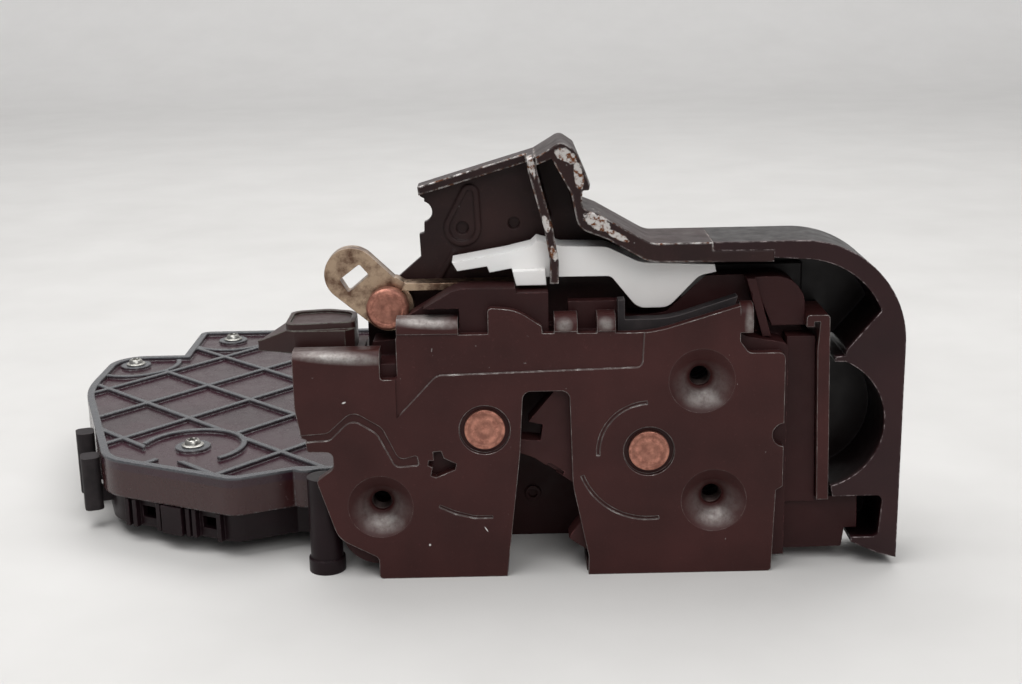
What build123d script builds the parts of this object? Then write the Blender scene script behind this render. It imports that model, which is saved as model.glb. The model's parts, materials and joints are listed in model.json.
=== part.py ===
from build123d import *
import math
import os

os.makedirs("parts", exist_ok=True)

# A side door latch with its lock actuator, in mm.
# X runs across the face plate, Y goes into the door, Z is up.
# The origin is the centre of the striker mouth on the plate's outer face.

# ---- depths of the layers behind the face plate (Y) ----
plate_t = 2.6
cavity_back = 9.0
floor_back = 10.4
back_plate_t = 2.2
frame_back = 18.0
web_t = 2.0
channel_back = 28.0
wall = 1.8

# ---- fits ----
run_fit = 0.05
slip = 0.3

# ---- flats on towers, wells and screw shanks that stay out of sight ----
tower_sides = 8
shank_sides = 6

# ---- catch pivots (X, Z) and pins ----
claw_x, claw_z = 24.3, 31.0
pawl_x, pawl_z = -14.3, 37.1
pin_r = 4.0
pin_head_r = 4.8
pin_recess_r = 6.0
pin_recess_depth = 1.3
pin_head_front = 0.2
upset_r = 4.7
upset_t = 1.1

# ---- torsion springs behind the back plate ----
wire_r = 0.6
wire_sides = 5
coil_r = 5.7
coil_turns = 2.5
leg_length = 6.7
coil_pitch = 1.35

# ---- claw: turns by claw_swing from open (as modelled) to fully latched ----
claw_front, claw_t = 2.9, 5.8
claw_swing = 50.0
skin = 0.9
hub_r = 10.4
lobe_r = 31.0
finger_r = 29.5
half_catch_r = 25.6
sweep_gap = 1.0
bay_ceiling = 58.2
core_inset = 1.4

# ---- pawl: its nose stands nose_lift clear of the claw's rim ----
pawl_hub_r = 7.0
nose_reach = 23.5
nose_lift = 1.4
pawl_swing = 12.0
pivot_span = math.hypot(claw_x - pawl_x, claw_z - pawl_z)
pivot_slope = math.degrees(math.atan2(claw_z - pawl_z, claw_x - pawl_x))
nose_cosine = (nose_reach**2 + pivot_span**2 - (lobe_r + nose_lift) ** 2) / (2 * nose_reach * pivot_span)
pawl_rest_deg = pivot_slope + math.degrees(math.acos(nose_cosine))

# ---- striker throat ----
throat_half = 5.6
throat_top = 46.3
channel_wall = 1.8
ring_x, ring_z = -2.9, 11.5

# ---- threaded fixing dimples in the plate (X, Z) ----
fixings = [(-39.5, 18.4), (36.6, 48.0), (39.7, 18.4)]
thread_r = 2.5
thread_start = 4.6
thread_length = 5.0
dimple_r = 7.75
collar_r = dimple_r + 1.6

# ---- outside release lever ----
lever_x, lever_z = -36.6, 64.6
lever_front, lever_back = 12.0, 16.0
lever_pin_r = 3.5
lever_hub_r = 6.0
lever_head_r = 5.0

# ---- white lock lever ----
lock_x, lock_z = 26.3, 68.3
lock_front, lock_back = 8.0, 16.0
lock_pin_r = 2.2
lock_skin = 1.6

# ---- inside (cable) lever on the rear face ----
inside_x, inside_z = 50.0, 48.6
inside_pin_r = 2.5
inside_front, inside_t = 18.2, 2.0

# ---- bracket screws and the housing's locating spigots ----
bracket_screws_at = [(-38.4, 54.4), (-28.4, 54.4)]
screw_bore_r, screw_shank_r, screw_head_r = 1.3, 1.1, 3.3
spigots_x = [-40.0, -24.0]
spigot_z, spigot_r = 9.0, 2.4

# ---- key cup ----
cup_x, cup_y = -52.3, 14.6
cup_low, cup_high = 54.6, 61.6
cup_spigot_r = 3.0

# ---- actuator housing heights (Z) ----
base_low = 4.5
skirt_low = 12.2
cover_under = 19.0
panel_top = 20.8
rim_top = 22.0

# ---- gear train ----
worm_pitch = 2.5
wheel_teeth = 24
mesh_module = worm_pitch / math.pi
wheel_pitch_r = mesh_module * wheel_teeth / 2
wheel_x, wheel_y = -72.0, 70.0
gear_low, gear_t = 8.6, 4.0
worm_root_r, worm_tip_r = 2.6, 4.3
worm_x = wheel_x - wheel_pitch_r - 3.5
worm_y0, worm_y1 = 61.5, 77.5
gear_z = gear_low + gear_t / 2
motor_r = 6.0
motor_y0, motor_y1 = 84.5, 112.0
shaft_r = 1.0
axle_r = 2.0
crank_r = 6.0
crank_pin_r = 1.6
slider_low, slider_t = 13.4, 2.2
slider_half = 6.0
slider_x = wheel_x + 2.4
crank_start = 30.0
crank_x = crank_r * math.cos(math.radians(crank_start))
crank_y = crank_r * math.sin(math.radians(crank_start))
slider_y0, slider_y1 = 44.0, 102.0


def upright(depth):
    """Working plane facing the front, at a depth: local x is X, local y is Z."""
    return Plane.XZ.offset(-depth)


def polar(x, z, radius, degrees):
    return (x + radius * math.cos(math.radians(degrees)), z + radius * math.sin(math.radians(degrees)))


def outline(corners):
    """Closed line through (x, z) corners; a third number rounds that corner."""
    radii = [corner[2] if len(corner) > 2 else 0 for corner in corners]
    if any(radii):
        FilletPolyline(*[corner[:2] for corner in corners], radius=radii, close=True)
    else:
        Polyline(*corners, close=True)


def band(x, z, radius, width, first, span):
    """Closed line round an arc-shaped rib or groove."""
    outer = radius + width
    CenterArc((x, z), radius, first, span)
    Line(polar(x, z, radius, first), polar(x, z, outer, first))
    CenterArc((x, z), outer, first, span)
    Line(polar(x, z, radius, first + span), polar(x, z, outer, first + span))


def slab(corners, y0, y1, mode=Mode.ADD):
    """Upright layer between two depths."""
    with BuildSketch(upright(y1)) as face:
        with BuildLine():
            outline(corners)
        make_face()
    extrude(face.sketch, amount=y1 - y0, mode=mode)


def link(circles, y0, y1, mode=Mode.ADD, rim=0.0):
    """Upright layer wrapped round (x, z, radius) circles; rim leaves only a band that wide."""
    with BuildSketch(upright(y1)) as face:
        with BuildLine():
            for x, z, radius in circles:
                CenterArc((x, z), radius, 0, 360)
        make_hull()
        if rim:
            offset(amount=-rim, mode=Mode.SUBTRACT)
    extrude(face.sketch, amount=y1 - y0, mode=mode)


def layer(corners, z0, z1, mode=Mode.ADD, inset=0.0):
    """Level layer between two heights, optionally inset from its outline."""
    with BuildSketch(Plane.XY.offset(z0)) as face:
        with BuildLine():
            outline(corners)
        make_face()
        if inset:
            offset(amount=-inset, kind=Kind.INTERSECTION, mode=Mode.REPLACE)
    extrude(face.sketch, amount=z1 - z0, mode=mode)


def round_or_sided(radius, sides):
    """Circle, or a regular polygon standing outside that circle."""
    if sides:
        RegularPolygon(radius, sides, major_radius=False)
    else:
        Circle(radius)


def rod(x, z, radius, y0, y1, mode=Mode.ADD, sides=0):
    """Fore-and-aft cylinder, or a prism round it."""
    with BuildSketch(upright(y1)) as disc:
        with Locations((x, z)):
            round_or_sided(radius, sides)
    extrude(disc.sketch, amount=y1 - y0, mode=mode)


def stud(x, y, radius, z0, z1, mode=Mode.ADD, sides=0):
    """Vertical cylinder, or a prism round it."""
    with BuildSketch(Plane.XY.offset(z0)) as disc:
        with Locations((x, y)):
            round_or_sided(radius, sides)
    extrude(disc.sketch, amount=z1 - z0, mode=mode)


def block(x0, x1, y0, y1, z0, z1, mode=Mode.ADD):
    with BuildSketch(Plane.XY.offset(z0)) as foot:
        with Locations(((x0 + x1) / 2, (y0 + y1) / 2)):
            Rectangle(x1 - x0, y1 - y0)
    extrude(foot.sketch, amount=z1 - z0, mode=mode)


def turned(x, z, profile, mode=Mode.ADD):
    """Revolved about a fore-and-aft axis; the profile is (radius, depth)."""
    with BuildSketch(Plane((x, 0, z))) as half:
        with BuildLine():
            Polyline(*[(r, y) for r, y in profile], close=True)
        make_face()
    revolve(half.sketch, axis=Axis((x, 0, z), (0, 1, 0)), mode=mode)


def spun(x, y, profile, mode=Mode.ADD):
    """Revolved about a vertical axis; the profile is (radius, height)."""
    with BuildSketch(Plane(origin=(x, y, 0), x_dir=(1, 0, 0), z_dir=(0, -1, 0))) as half:
        with BuildLine():
            Polyline(*profile, close=True)
        make_face()
    revolve(half.sketch, axis=Axis((x, y, 0), (0, 0, 1)), mode=mode)


def write(name, built):
    built.part.label = name
    export_step(built.part, "parts/" + name + ".step")


# ---------------------------------------------------------------- face plate
mouth = [
    (9.8, -1.0), (10.0, 4.5), (6.3, 22.8, 20), (5.7, 46.3, 2.0), (-5.2, 46.3, 2.0), (-6.1, 31.1, 20),
    (-9.8, -1.0),
]
plate_outline = [
    (-40.4, 0.0, 1.0), (53.7, 0.0, 1.0), (54.4, 20.6), (56.0, 21.6), (55.9, 54.5, 1.6), (47.4, 54.5, 2.0),
    (45.4, 57.3), (45.3, 65.8), (25.0, 59.8, 30), (-0.4, 60.1), (-0.5, 61.8), (-6.4, 65.8, 10),
    (-13.0, 66.4, 1.0), (-13.0, 60.2), (-34.4, 60.2, 0.8), (-34.4, 49.8, 0.8), (-38.3, 49.8, 0.8),
    (-38.3, 53.0), (-58.6, 53.0), (-58.6, 43.0, 8), (-57.4, 35.8), (-56.4, 35.4), (-56.3, 32.5, 0.8),
    (-50.2, 32.3, 1.5), (-50.2, 28.2, 2), (-54.4, 25.2, 1.0), (-49.8, 10.4, 6), (-40.4, 5.4, 1.5),
]
# each bent-back flange: left and right edge, height of its outer face, depth behind the plate
flanges = [
    (-58.6, -38.3, 56.6, 5.8), (-34.2, -19.9, 63.9, 5.6), (2.3, 7.7, 64.3, 5.0),
    (12.2, 16.5, 64.4, 5.0), (45.3, 48.3, 66.0, 4.6),
]
emboss_depth = 0.45
upper_field = [
    (-34.8, 40.4), (-25.2, 50.6, 3), (22.7, 51.6, 1.5), (23.2, 60.4), (-0.3, 60.6), (-0.6, 62.0),
    (-5.8, 66.6), (-13.4, 67.0), (-13.0, 60.4), (-34.8, 60.6),
]
lower_left_field = [
    (-61.0, 36.4), (-51.2, 37.0, 3), (-45.2, 42.4, 3), (-38.4, 38.2, 4), (-34.6, 30.0, 2),
    (-30.4, 31.2, 0.6), (-30.0, 28.6, 0.6), (-35.6, 28.2, 2), (-39.6, 36.6, 4), (-45.4, 40.4, 3),
    (-50.8, 35.2, 2), (-61.0, 34.6),
]
with BuildPart() as face_plate:
    slab(plate_outline, 0, plate_t)
    slab(mouth, -1, plate_t + 1, mode=Mode.SUBTRACT)
    for left, right, top, depth in flanges:
        root = top - plate_t
        turned_corner = [(left, root - 4.0), (right, root - 4.0), (right, root), (left, root)]
        slab(turned_corner, 0, plate_t)
        block(left, right, plate_t, depth, root, top)
        with BuildSketch(Plane.YZ.offset(left)) as bend:
            with BuildLine():
                Line((plate_t, root), (0, root))
                JernArc((0, root), (0, 1), plate_t, -90)
                Line((plate_t, top), (plate_t, root))
            make_face()
        extrude(bend.sketch, amount=right - left)
    # round relief on the right edge and the left retaining notch
    rod(56.2, 34.4, 2.9, -1, plate_t + 1, mode=Mode.SUBTRACT)
    for x, z in fixings:
        turned(x, z, [
            (0, 0.0), (collar_r, 0.0), (collar_r, plate_t), (5.0, thread_start + 2.2),
            (5.0, thread_start + thread_length), (0, thread_start + thread_length),
        ])
        turned(x, z, [
            (0, -1.0), (dimple_r, -1.0), (dimple_r, 0.0), (4.6, 2.4), (thread_r, thread_start),
            (thread_r, thread_start + thread_length + 1),
            (0, thread_start + thread_length + 1),
        ], mode=Mode.SUBTRACT)
    for x, z in [(claw_x, claw_z), (pawl_x, pawl_z)]:
        rod(x, z, pin_recess_r, -1, pin_recess_depth, mode=Mode.SUBTRACT)
        rod(x, z, pin_r, -1, plate_t + 1, mode=Mode.SUBTRACT)
    # keyed window below the pawl pin
    slab([
        (-26.6, 31.9), (-24.7, 32.1), (-24.1, 30.3), (-21.2, 28.9), (-21.5, 27.4), (-26.1, 25.5),
        (-27.3, 26.0), (-26.8, 28.0), (-27.9, 28.6), (-27.7, 29.8), (-26.5, 29.8),
    ], -1, plate_t + 1, mode=Mode.SUBTRACT)
    slab(upper_field, -1, emboss_depth, mode=Mode.SUBTRACT)
    slab(lower_left_field, -1, emboss_depth, mode=Mode.SUBTRACT)
    # stiffening grooves: one crease at the lower left and two arcs round the claw pin
    slab([
        (-25.4, 18.6), (-21.6, 16.9), (-17.2, 15.7), (-12.9, 15.6), (-12.9, 15.0), (-17.3, 15.0),
        (-21.9, 16.2), (-25.6, 18.0),
    ], -1, 0.35, mode=Mode.SUBTRACT)
    for radius, first, span in [(11.6, 92, 92), (16.4, 200, 78)]:
        with BuildSketch(upright(0.35)) as groove:
            with BuildLine():
                band(claw_x, claw_z, radius, 0.8, first, span)
            make_face()
        extrude(groove.sketch, amount=1.35, mode=Mode.SUBTRACT)
write("face_plate", face_plate)

# --------------------------------------------------------------- latch frame
front_outline = [
    (-49.6, 3.0, 9), (57.0, 3.2), (57.0, 56.0, 2), (47.2, 57.8), (43.0, 60.6), (34.0, 60.6), (24.8, 59.5),
    (1.1, 59.5), (1.1, 69.3), (-6.3, 69.3), (-6.5, 70.4), (-20.0, 70.6, 8), (-33.9, 62.4, 3), (-34.2, 53.0),
    (-57.6, 53.0), (-57.6, 42.0, 6), (-56.4, 35.0, 2), (-49.0, 33.0, 2),
]
rear_outline = [
    (-49.6, 3.0, 9), (71.8, 3.4), (72.4, 8.2), (75.4, 8.2), (75.2, 16.4), (64.6, 16.6), (63.6, 56.0),
    (61.2, 56.0), (61.2, 71.2, 7), (38.4, 70.8, 2), (29.0, 62.2, 2), (14.5, 60.6), (-5.0, 60.2),
    (-29.0, 57.4), (-40.5, 56.4), (-41.6, 52.4), (-57.6, 52.4), (-57.6, 42.0, 6), (-56.4, 35.0, 2),
    (-49.0, 33.0, 2),
]
claw_sweep_r = lobe_r + sweep_gap
claw_bay = [
    polar(claw_x, claw_z, 13.0, 20), (claw_x + 17.0, bay_ceiling), (claw_x - 38.0, bay_ceiling),
    polar(claw_x, claw_z, 46.0, 190), polar(claw_x, claw_z, 46.0, 235),
    polar(claw_x, claw_z, claw_sweep_r * 1.02, 252), polar(claw_x, claw_z, 13.0, 285),
]


def pawl_point(a, b, lift=0.0):
    """Point given along (a) and across (b) the pawl arm, measured from its pin."""
    heading = math.radians(pawl_rest_deg + lift)
    return (
        pawl_x + a * math.cos(heading) - b * math.sin(heading),
        pawl_z + a * math.sin(heading) + b * math.cos(heading),
    )


def pawl_layer(y0, y1, lift=0.0, grow=0.0, mode=Mode.ADD):
    """Pawl silhouette between two depths, lifted by an angle from rest and grown or shrunk."""
    arm = [(-2.0, 6.7), (12.0, 8.0), (20.0, 7.2), (nose_reach - 1.0, 4.6), (nose_reach, 0.0),
           (nose_reach - 2.8, 0.0), (nose_reach - 3.6, 2.6), (16.0, 1.9), (10.0, -1.4), (5.0, -4.8), (0.0, -6.9)]
    tail = [(5.0, 4.6), (-1.2, 14.9), (-4.4, 15.4), (-6.8, 13.0), (-6.8, 9.7), (-5.0, -4.6)]
    with BuildSketch(upright(y1)) as face:
        for limb in (arm, tail):
            with BuildLine():
                Polyline(*[pawl_point(a, b, lift) for a, b in limb], close=True)
            make_face()
        with Locations((pawl_x, pawl_z)):
            Circle(pawl_hub_r)
        if grow:
            offset(amount=grow, kind=Kind.INTERSECTION, mode=Mode.REPLACE)
    extrude(face.sketch, amount=y1 - y0, mode=mode)


channel_outer = [
    (-12.4, 0.0), (-10.4, 14.0), (-8.6, 27.0), (-throat_half - channel_wall, 34.0),
    (-throat_half - channel_wall, 50.6), (throat_half + channel_wall, 50.6),
    (throat_half + channel_wall, 34.0), (8.6, 27.0), (11.2, 14.0), (12.4, 0.0),
]
channel_inner = [
    (-9.6, -1.0), (-8.0, 15.0), (-6.4, 27.0), (-throat_half, 33.0), (-throat_half, throat_top),
    (throat_half, throat_top), (throat_half, 33.0), (6.3, 24.0), (8.6, 13.0), (9.6, 4.6), (9.6, -1.0),
]
back_plate_outline = [
    (-23.0, 30.0), (-9.4, 28.0), (-8.0, 34.0), (-8.0, 52.6), (8.0, 52.6), (8.0, 34.0), (9.6, 22.0),
    (16.0, 20.0),
    (33.0, 20.0), (35.5, 24.0), (35.5, 42.0), (28.0, 57.0), (-16.0, 57.0), (-23.0, 49.0),
]
with BuildPart() as latch_frame:
    slab(front_outline, plate_t, floor_back)
    slab(rear_outline, floor_back, frame_back)
    slab(channel_outer, plate_t, channel_back)
    # side block and lower ledge at the right, set back from the plate
    slab([(57.0, 15.8), (64.6, 15.8), (63.6, 57.0), (57.0, 57.0)], 5.0, floor_back)
    slab([(57.0, 3.2), (71.8, 3.4), (72.4, 8.2), (75.4, 8.2), (75.2, 16.4), (57.0, 16.4)], 6.4, floor_back)
    # raised corner above the block, with a slanted edge facing the lock lever
    slab([(47.3, 71.1), (61.2, 71.2, 7), (61.2, 59.4), (53.6, 59.4), (49.6, 69.0), (47.8, 69.0)],
         6.4, floor_back)
    slab([(47.3, 71.1), (49.3, 71.1), (53.2, 57.2), (51.2, 57.2)], 4.6, floor_back)
    # claw bay: a disc sector open to the front
    with BuildSketch(upright(cavity_back)) as bay:
        with BuildLine():
            Polyline(*claw_bay, close=True)
        make_face()
        with Locations((claw_x, claw_z)):
            Circle(claw_sweep_r, mode=Mode.INTERSECT)
            Circle(hub_r + sweep_gap)
    extrude(bay.sketch, amount=cavity_back - plate_t, mode=Mode.SUBTRACT)
    # pawl bay: the pawl's own outline, enlarged, at steps through its swing
    for step in (-1.0, -1 / 3, 1 / 3, 1.0):
        pawl_layer(plate_t, cavity_back, step * pawl_swing, sweep_gap, mode=Mode.SUBTRACT)
    # striker channel
    slab(channel_inner, plate_t, channel_back - wall, mode=Mode.SUBTRACT)
    # moulded ring standing on the channel's rear wall
    rod(ring_x, ring_z, 2.0, channel_back - wall - 0.9, channel_back - wall)
    rod(ring_x, ring_z, 1.1, channel_back - wall - 1, channel_back - wall, mode=Mode.SUBTRACT)
    # key slot for the rubber buffer in the channel roof
    block(-2.4, 2.4, 12.0, 15.0, throat_top - 1, throat_top + 2.0, mode=Mode.SUBTRACT)
    # rear well for the back plate and the springs
    with BuildSketch(upright(frame_back)) as well:
        with BuildLine():
            Polyline(*back_plate_outline, close=True)
        make_face()
        offset(amount=slip, kind=Kind.INTERSECTION, mode=Mode.REPLACE)
    extrude(well.sketch, amount=frame_back - floor_back, mode=Mode.SUBTRACT)
    for x, z in [(claw_x, claw_z), (pawl_x, pawl_z)]:
        rod(x, z, pin_r, cavity_back - 1, frame_back, mode=Mode.SUBTRACT)
    # wells round the plate's threaded collars, opened through for the fixing screws' tips
    for x, z in fixings:
        rod(x, z, dimple_r + 2.0, plate_t, thread_start + thread_length + slip, mode=Mode.SUBTRACT)
        rod(x, z, thread_r + 1.2, plate_t, channel_back, mode=Mode.SUBTRACT)
    # clearance under the plate's bent flanges
    for left, right, top, depth in flanges:
        block(left - slip, right + slip, 0, depth + slip, top - plate_t - slip, top + 2, mode=Mode.SUBTRACT)
    # weight-saving pockets open to the rear, with webs left standing between them
    for x0, x1, z0, z1 in [
        (-46.0, -44.0, 13.0, 27.0), (-54.5, -43.0, 37.0, 42.5), (-54.5, -43.0, 45.0, 50.0),
        (-33.5, -14.0, 6.0, 15.5), (-33.5, -26.0, 18.0, 27.0), (16.0, 29.0, 6.0, 15.5),
        (49.5, 54.5, 27.0, 43.0), (57.5, 62.5, 20.0, 33.0), (57.5, 62.5, 36.0, 51.0),
        (45.5, 56.5, 59.0, 68.0), (52.5, 71.5, 6.0, 13.0),
    ]:
        block(x0, x1, floor_back + 1.4, frame_back + 1, z0, z1, mode=Mode.SUBTRACT)
    # relief round the release lever's pin
    rod(lever_x, lever_z, 5.4, lever_front - 4.2, frame_back, mode=Mode.SUBTRACT)
    # pilot holes for the bracket screws and sockets for the housing's spigots
    for x, z in bracket_screws_at:
        rod(x, z, screw_bore_r, floor_back + 2, frame_back + 1, mode=Mode.SUBTRACT, sides=shank_sides)
    for x in spigots_x:
        rod(x, spigot_z, spigot_r + run_fit, frame_back - 3, frame_back + 1, mode=Mode.SUBTRACT,
            sides=tower_sides)
    rod(inside_x, inside_z, inside_pin_r, floor_back + 2, frame_back + 1, mode=Mode.SUBTRACT)
    # ear carrying the lock lever pin
    slab([(20.6, 61.8), (20.8, 69.4), (23.4, 72.4), (29.0, 72.4), (31.8, 69.4), (32.0, 61.8)],
         lock_back + slip, frame_back)
    rod(lock_x, lock_z, lock_pin_r, floor_back - 1, frame_back + 1, mode=Mode.SUBTRACT)
    # seat and spigot for the key cup
    block(-57.6, -42.8, frame_back - 1, 24.0, 46.0, 52.4)
    stud(cup_x, cup_y, cup_spigot_r, 50.0, cup_high - 3.2)
    slab([(-57.6, 50.0), (-42.8, 50.0), (-42.8, cup_low - 0.1), (-57.6, cup_low - 0.1)], 8.4, 23.6)
    # T-shaped cleat on the top edge
    slab([(8.1, 58.0), (12.6, 58.0), (12.6, 63.3), (17.4, 63.3), (17.4, 66.3), (5.8, 66.3), (5.8, 63.3),
          (8.1, 63.3)], 6.0, 9.0)
write("latch_frame", latch_frame)

# ------------------------------------------------------- steel back plate, pins
back_front = floor_back
back_rear = floor_back + back_plate_t
with BuildPart() as back_plate:
    slab(back_plate_outline, back_front, back_rear)
    for x, z in [(claw_x, claw_z), (pawl_x, pawl_z)]:
        rod(x, z, pin_r, back_front - 1, back_rear + 1, mode=Mode.SUBTRACT)
    # spring anchor tabs turned rearwards
    for x, z in [(claw_x, claw_z), (pawl_x, pawl_z)]:
        block(x - leg_length - 1.6, x - leg_length, back_rear - 1, back_rear + 3.4, z + 3.6, z + 8.0)
    slab([(-6.0, 54.0), (6.0, 54.0), (6.0, 55.6), (-6.0, 55.6)], back_front - 1, back_rear + 1,
         mode=Mode.SUBTRACT)
write("back_plate", back_plate)

pin_profile = [
    (0, pin_head_front), (pin_head_r, pin_head_front), (pin_head_r, pin_recess_depth),
    (pin_r, pin_recess_depth), (pin_r, back_rear), (upset_r, back_rear),
    (upset_r - 0.6, back_rear + upset_t), (0, back_rear + upset_t),
]
with BuildPart() as claw_pin:
    turned(claw_x, claw_z, pin_profile)
write("claw_pin", claw_pin)
with BuildPart() as pawl_pin:
    turned(pawl_x, pawl_z, pin_profile)
write("pawl_pin", pawl_pin)

# ------------------------------------------------------------------------ claw
flat_heading = 90 + claw_swing
flat_reach = bay_ceiling - sweep_gap - claw_z


def on_flat(degrees):
    """Point on the lobe's straight back, which lies level under the bay's ceiling when latched."""
    return polar(claw_x, claw_z, flat_reach / math.cos(math.radians(degrees - flat_heading)), degrees)


lobe = [
    polar(claw_x, claw_z, hub_r - 1.0, 96), on_flat(128), on_flat(183), polar(claw_x, claw_z, 30.7, 181.2),
    polar(claw_x, claw_z, 27.1, 184.2), polar(claw_x, claw_z, 19.9, 204.4),
    polar(claw_x, claw_z, 17.6, 214), polar(claw_x, claw_z, 17.2, 221.5), (claw_x, claw_z),
]
finger = [
    (claw_x, claw_z), polar(claw_x, claw_z, 17.2, 221.5), polar(claw_x, claw_z, 19.0, 227.6),
    polar(claw_x, claw_z, 27.7, 229.4), polar(claw_x, claw_z, 33.0, 231), polar(claw_x, claw_z, 33.0, 248),
    polar(claw_x, claw_z, 27.0, 250), polar(claw_x, claw_z, 19.0, 256), polar(claw_x, claw_z, hub_r - 1.0, 266),
]
half_catch = [
    polar(claw_x, claw_z, half_catch_r, 166), polar(claw_x, claw_z, 36.0, 166),
    polar(claw_x, claw_z, 36.0, 175), polar(claw_x, claw_z, half_catch_r, 175),
]
# the upper fixing's collar, as the open claw sees it, is relieved out of the lobe
collar_x, collar_z = fixings[1]
collar_span = math.hypot(collar_x - claw_x, collar_z - claw_z)
collar_heading = math.degrees(math.atan2(collar_z - claw_z, collar_x - claw_x)) + claw_swing


def claw_blank(y0, y1, shrink=0.0, mode=Mode.ADD):
    """Claw silhouette between two depths; shrink pulls the outline in for the steel core."""
    with BuildSketch(upright(y1)) as face:
        for arm, reach in ((lobe, lobe_r), (finger, finger_r)):
            with BuildSketch() as blade:
                with BuildLine():
                    Polyline(*arm, close=True)
                make_face()
                with Locations((claw_x, claw_z)):
                    Circle(reach, mode=Mode.INTERSECT)
        with Locations(polar(claw_x, claw_z, collar_span, collar_heading)):
            Circle(collar_r + sweep_gap, mode=Mode.SUBTRACT)
        with BuildLine():
            Polyline(*half_catch, close=True)
        make_face(mode=Mode.SUBTRACT)
        with Locations((claw_x, claw_z)):
            Circle(hub_r)
        if shrink:
            offset(amount=-shrink, kind=Kind.INTERSECTION, mode=Mode.REPLACE)
    extrude(face.sketch, amount=y1 - y0, mode=mode)


claw_bore = pin_r + run_fit
core_front = claw_front + skin
core_back = claw_front + claw_t - skin
with BuildPart() as claw_core:
    claw_blank(core_front, core_back, shrink=core_inset)
    # bare steel teeth reach the full outline at the two catch faces
    slab([
        polar(claw_x, claw_z, 26.0, 176.5), polar(claw_x, claw_z, lobe_r - 0.2, 176.5),
        polar(claw_x, claw_z, lobe_r - 0.2, 180.8), polar(claw_x, claw_z, 26.0, 184.4),
    ], core_front, core_back)
    rod(claw_x, claw_z, claw_bore, 0, frame_back, mode=Mode.SUBTRACT)
write("claw_core", claw_core)
with BuildPart() as claw_cover:
    claw_blank(claw_front, claw_front + claw_t)
    rod(claw_x, claw_z, claw_bore, 0, frame_back, mode=Mode.SUBTRACT)
    add(claw_core.part, mode=Mode.SUBTRACT)
    # damping slit and locating ring in the moulding's front skin
    slab([(0.1, 26.9), (4.0, 24.4), (4.5, 25.3), (0.6, 27.8)], 0, core_front, mode=Mode.SUBTRACT)
    with BuildSketch(upright(core_front - skin / 2)) as hub_step:
        with Locations((claw_x, claw_z)):
            Circle(pin_recess_r + 2.4)
            Circle(pin_recess_r + 1.6, mode=Mode.SUBTRACT)
    extrude(hub_step.sketch, amount=core_front, mode=Mode.SUBTRACT)
write("claw_cover", claw_cover)

# ------------------------------------------------------------------------ pawl
with BuildPart() as pawl_core:
    pawl_layer(core_front, core_back, grow=-core_inset)
    slab([pawl_point(a, b) for a, b in [
        (18.5, 4.2), (nose_reach - 0.9, 4.2), (nose_reach, 0.0), (nose_reach - 2.8, 0.0), (nose_reach - 3.4, 2.2),
    ]], core_front, core_back)
    rod(pawl_x, pawl_z, claw_bore, 0, frame_back, mode=Mode.SUBTRACT)
write("pawl_core", pawl_core)
with BuildPart() as pawl_cover:
    pawl_layer(claw_front, claw_front + claw_t)
    rod(pawl_x, pawl_z, claw_bore, 0, frame_back, mode=Mode.SUBTRACT)
    add(pawl_core.part, mode=Mode.SUBTRACT)
write("pawl_cover", pawl_cover)

# --------------------------------------------------------------- return springs


def torsion_spring(x, z):
    """Open coil round a pin's riveted end, with two straight legs running on from it."""
    start = back_rear + wire_r + 0.35
    with BuildLine() as path:
        Helix(
            pitch=coil_pitch, height=coil_pitch * coil_turns, radius=coil_r, center=(x, start, z),
            direction=(0, 1, 0),
        )
    coil = path.line
    for point, tangent in [(coil @ 0, -(coil % 0)), (coil @ 1, coil % 1)]:
        with BuildSketch(Plane(origin=point, x_dir=(0, 1, 0), z_dir=tangent)) as leg:
            RegularPolygon(wire_r, wire_sides)
        extrude(leg.sketch, amount=leg_length)
    with BuildSketch(Plane(origin=coil @ 0, x_dir=(0, 1, 0), z_dir=coil % 0)) as wire:
        RegularPolygon(wire_r, wire_sides)
    sweep(wire.sketch, path=coil, is_frenet=True)


with BuildPart() as claw_spring:
    torsion_spring(claw_x, claw_z)
write("claw_spring", claw_spring)
with BuildPart() as pawl_spring:
    torsion_spring(pawl_x, pawl_z)
write("pawl_spring", pawl_spring)

# ------------------------------------------------------------- rubber pieces
with BuildPart() as striker_buffer:
    slab([(-5.0, throat_top - 1.8), (5.0, throat_top - 1.8), (5.6, throat_top), (-5.6, throat_top)],
         floor_back, channel_back - wall - 1.0)
    block(-2.4, 2.4, 12.0, 15.0, throat_top, throat_top + 2.0)
write("striker_buffer", striker_buffer)

with BuildPart() as frame_seal:
    slab([
        (17.2, 59.6), (26.6, 59.8, 25), (44.2, 65.0), (44.9, 67.5), (29.0, 62.5, 25), (18.8, 62.5),
        (18.8, 67.2), (17.2, 67.2),
    ], plate_t, 6.0)
write("frame_seal", frame_seal)

# ------------------------------------------------------ outside release lever
lever_eye = [(-47.9, 71.3, 0.5), (-43.1, 74.9, 0.5), (-40.9, 72.2, 0.5), (-46.0, 68.0, 0.5)]
with BuildPart() as outside_lever:
    link([(-45.1, 72.3, 6.4), (-45.3, 66.3, 1.2), (lever_x, lever_z, lever_hub_r)], lever_front, lever_back)
    # the upper edge is folded into a level strip running behind the hood
    slab([(lever_x, lever_z + 2), (-36.2, 72.6, 1.5), (-32.6, 70.2, 2), (-6.5, 70.2), (-6.5, 68.6),
          (-31.4, 68.2)], lever_front, lever_back)
    slab([(-33.4, 68.5), (-6.5, 68.6), (-6.5, 70.2), (-32.6, 70.2)], floor_back + 0.4, lever_back)
    slab(lever_eye, 0, frame_back, mode=Mode.SUBTRACT)
    rod(lever_x, lever_z, lever_pin_r + run_fit, 0, frame_back, mode=Mode.SUBTRACT)
write("outside_lever", outside_lever)

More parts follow.
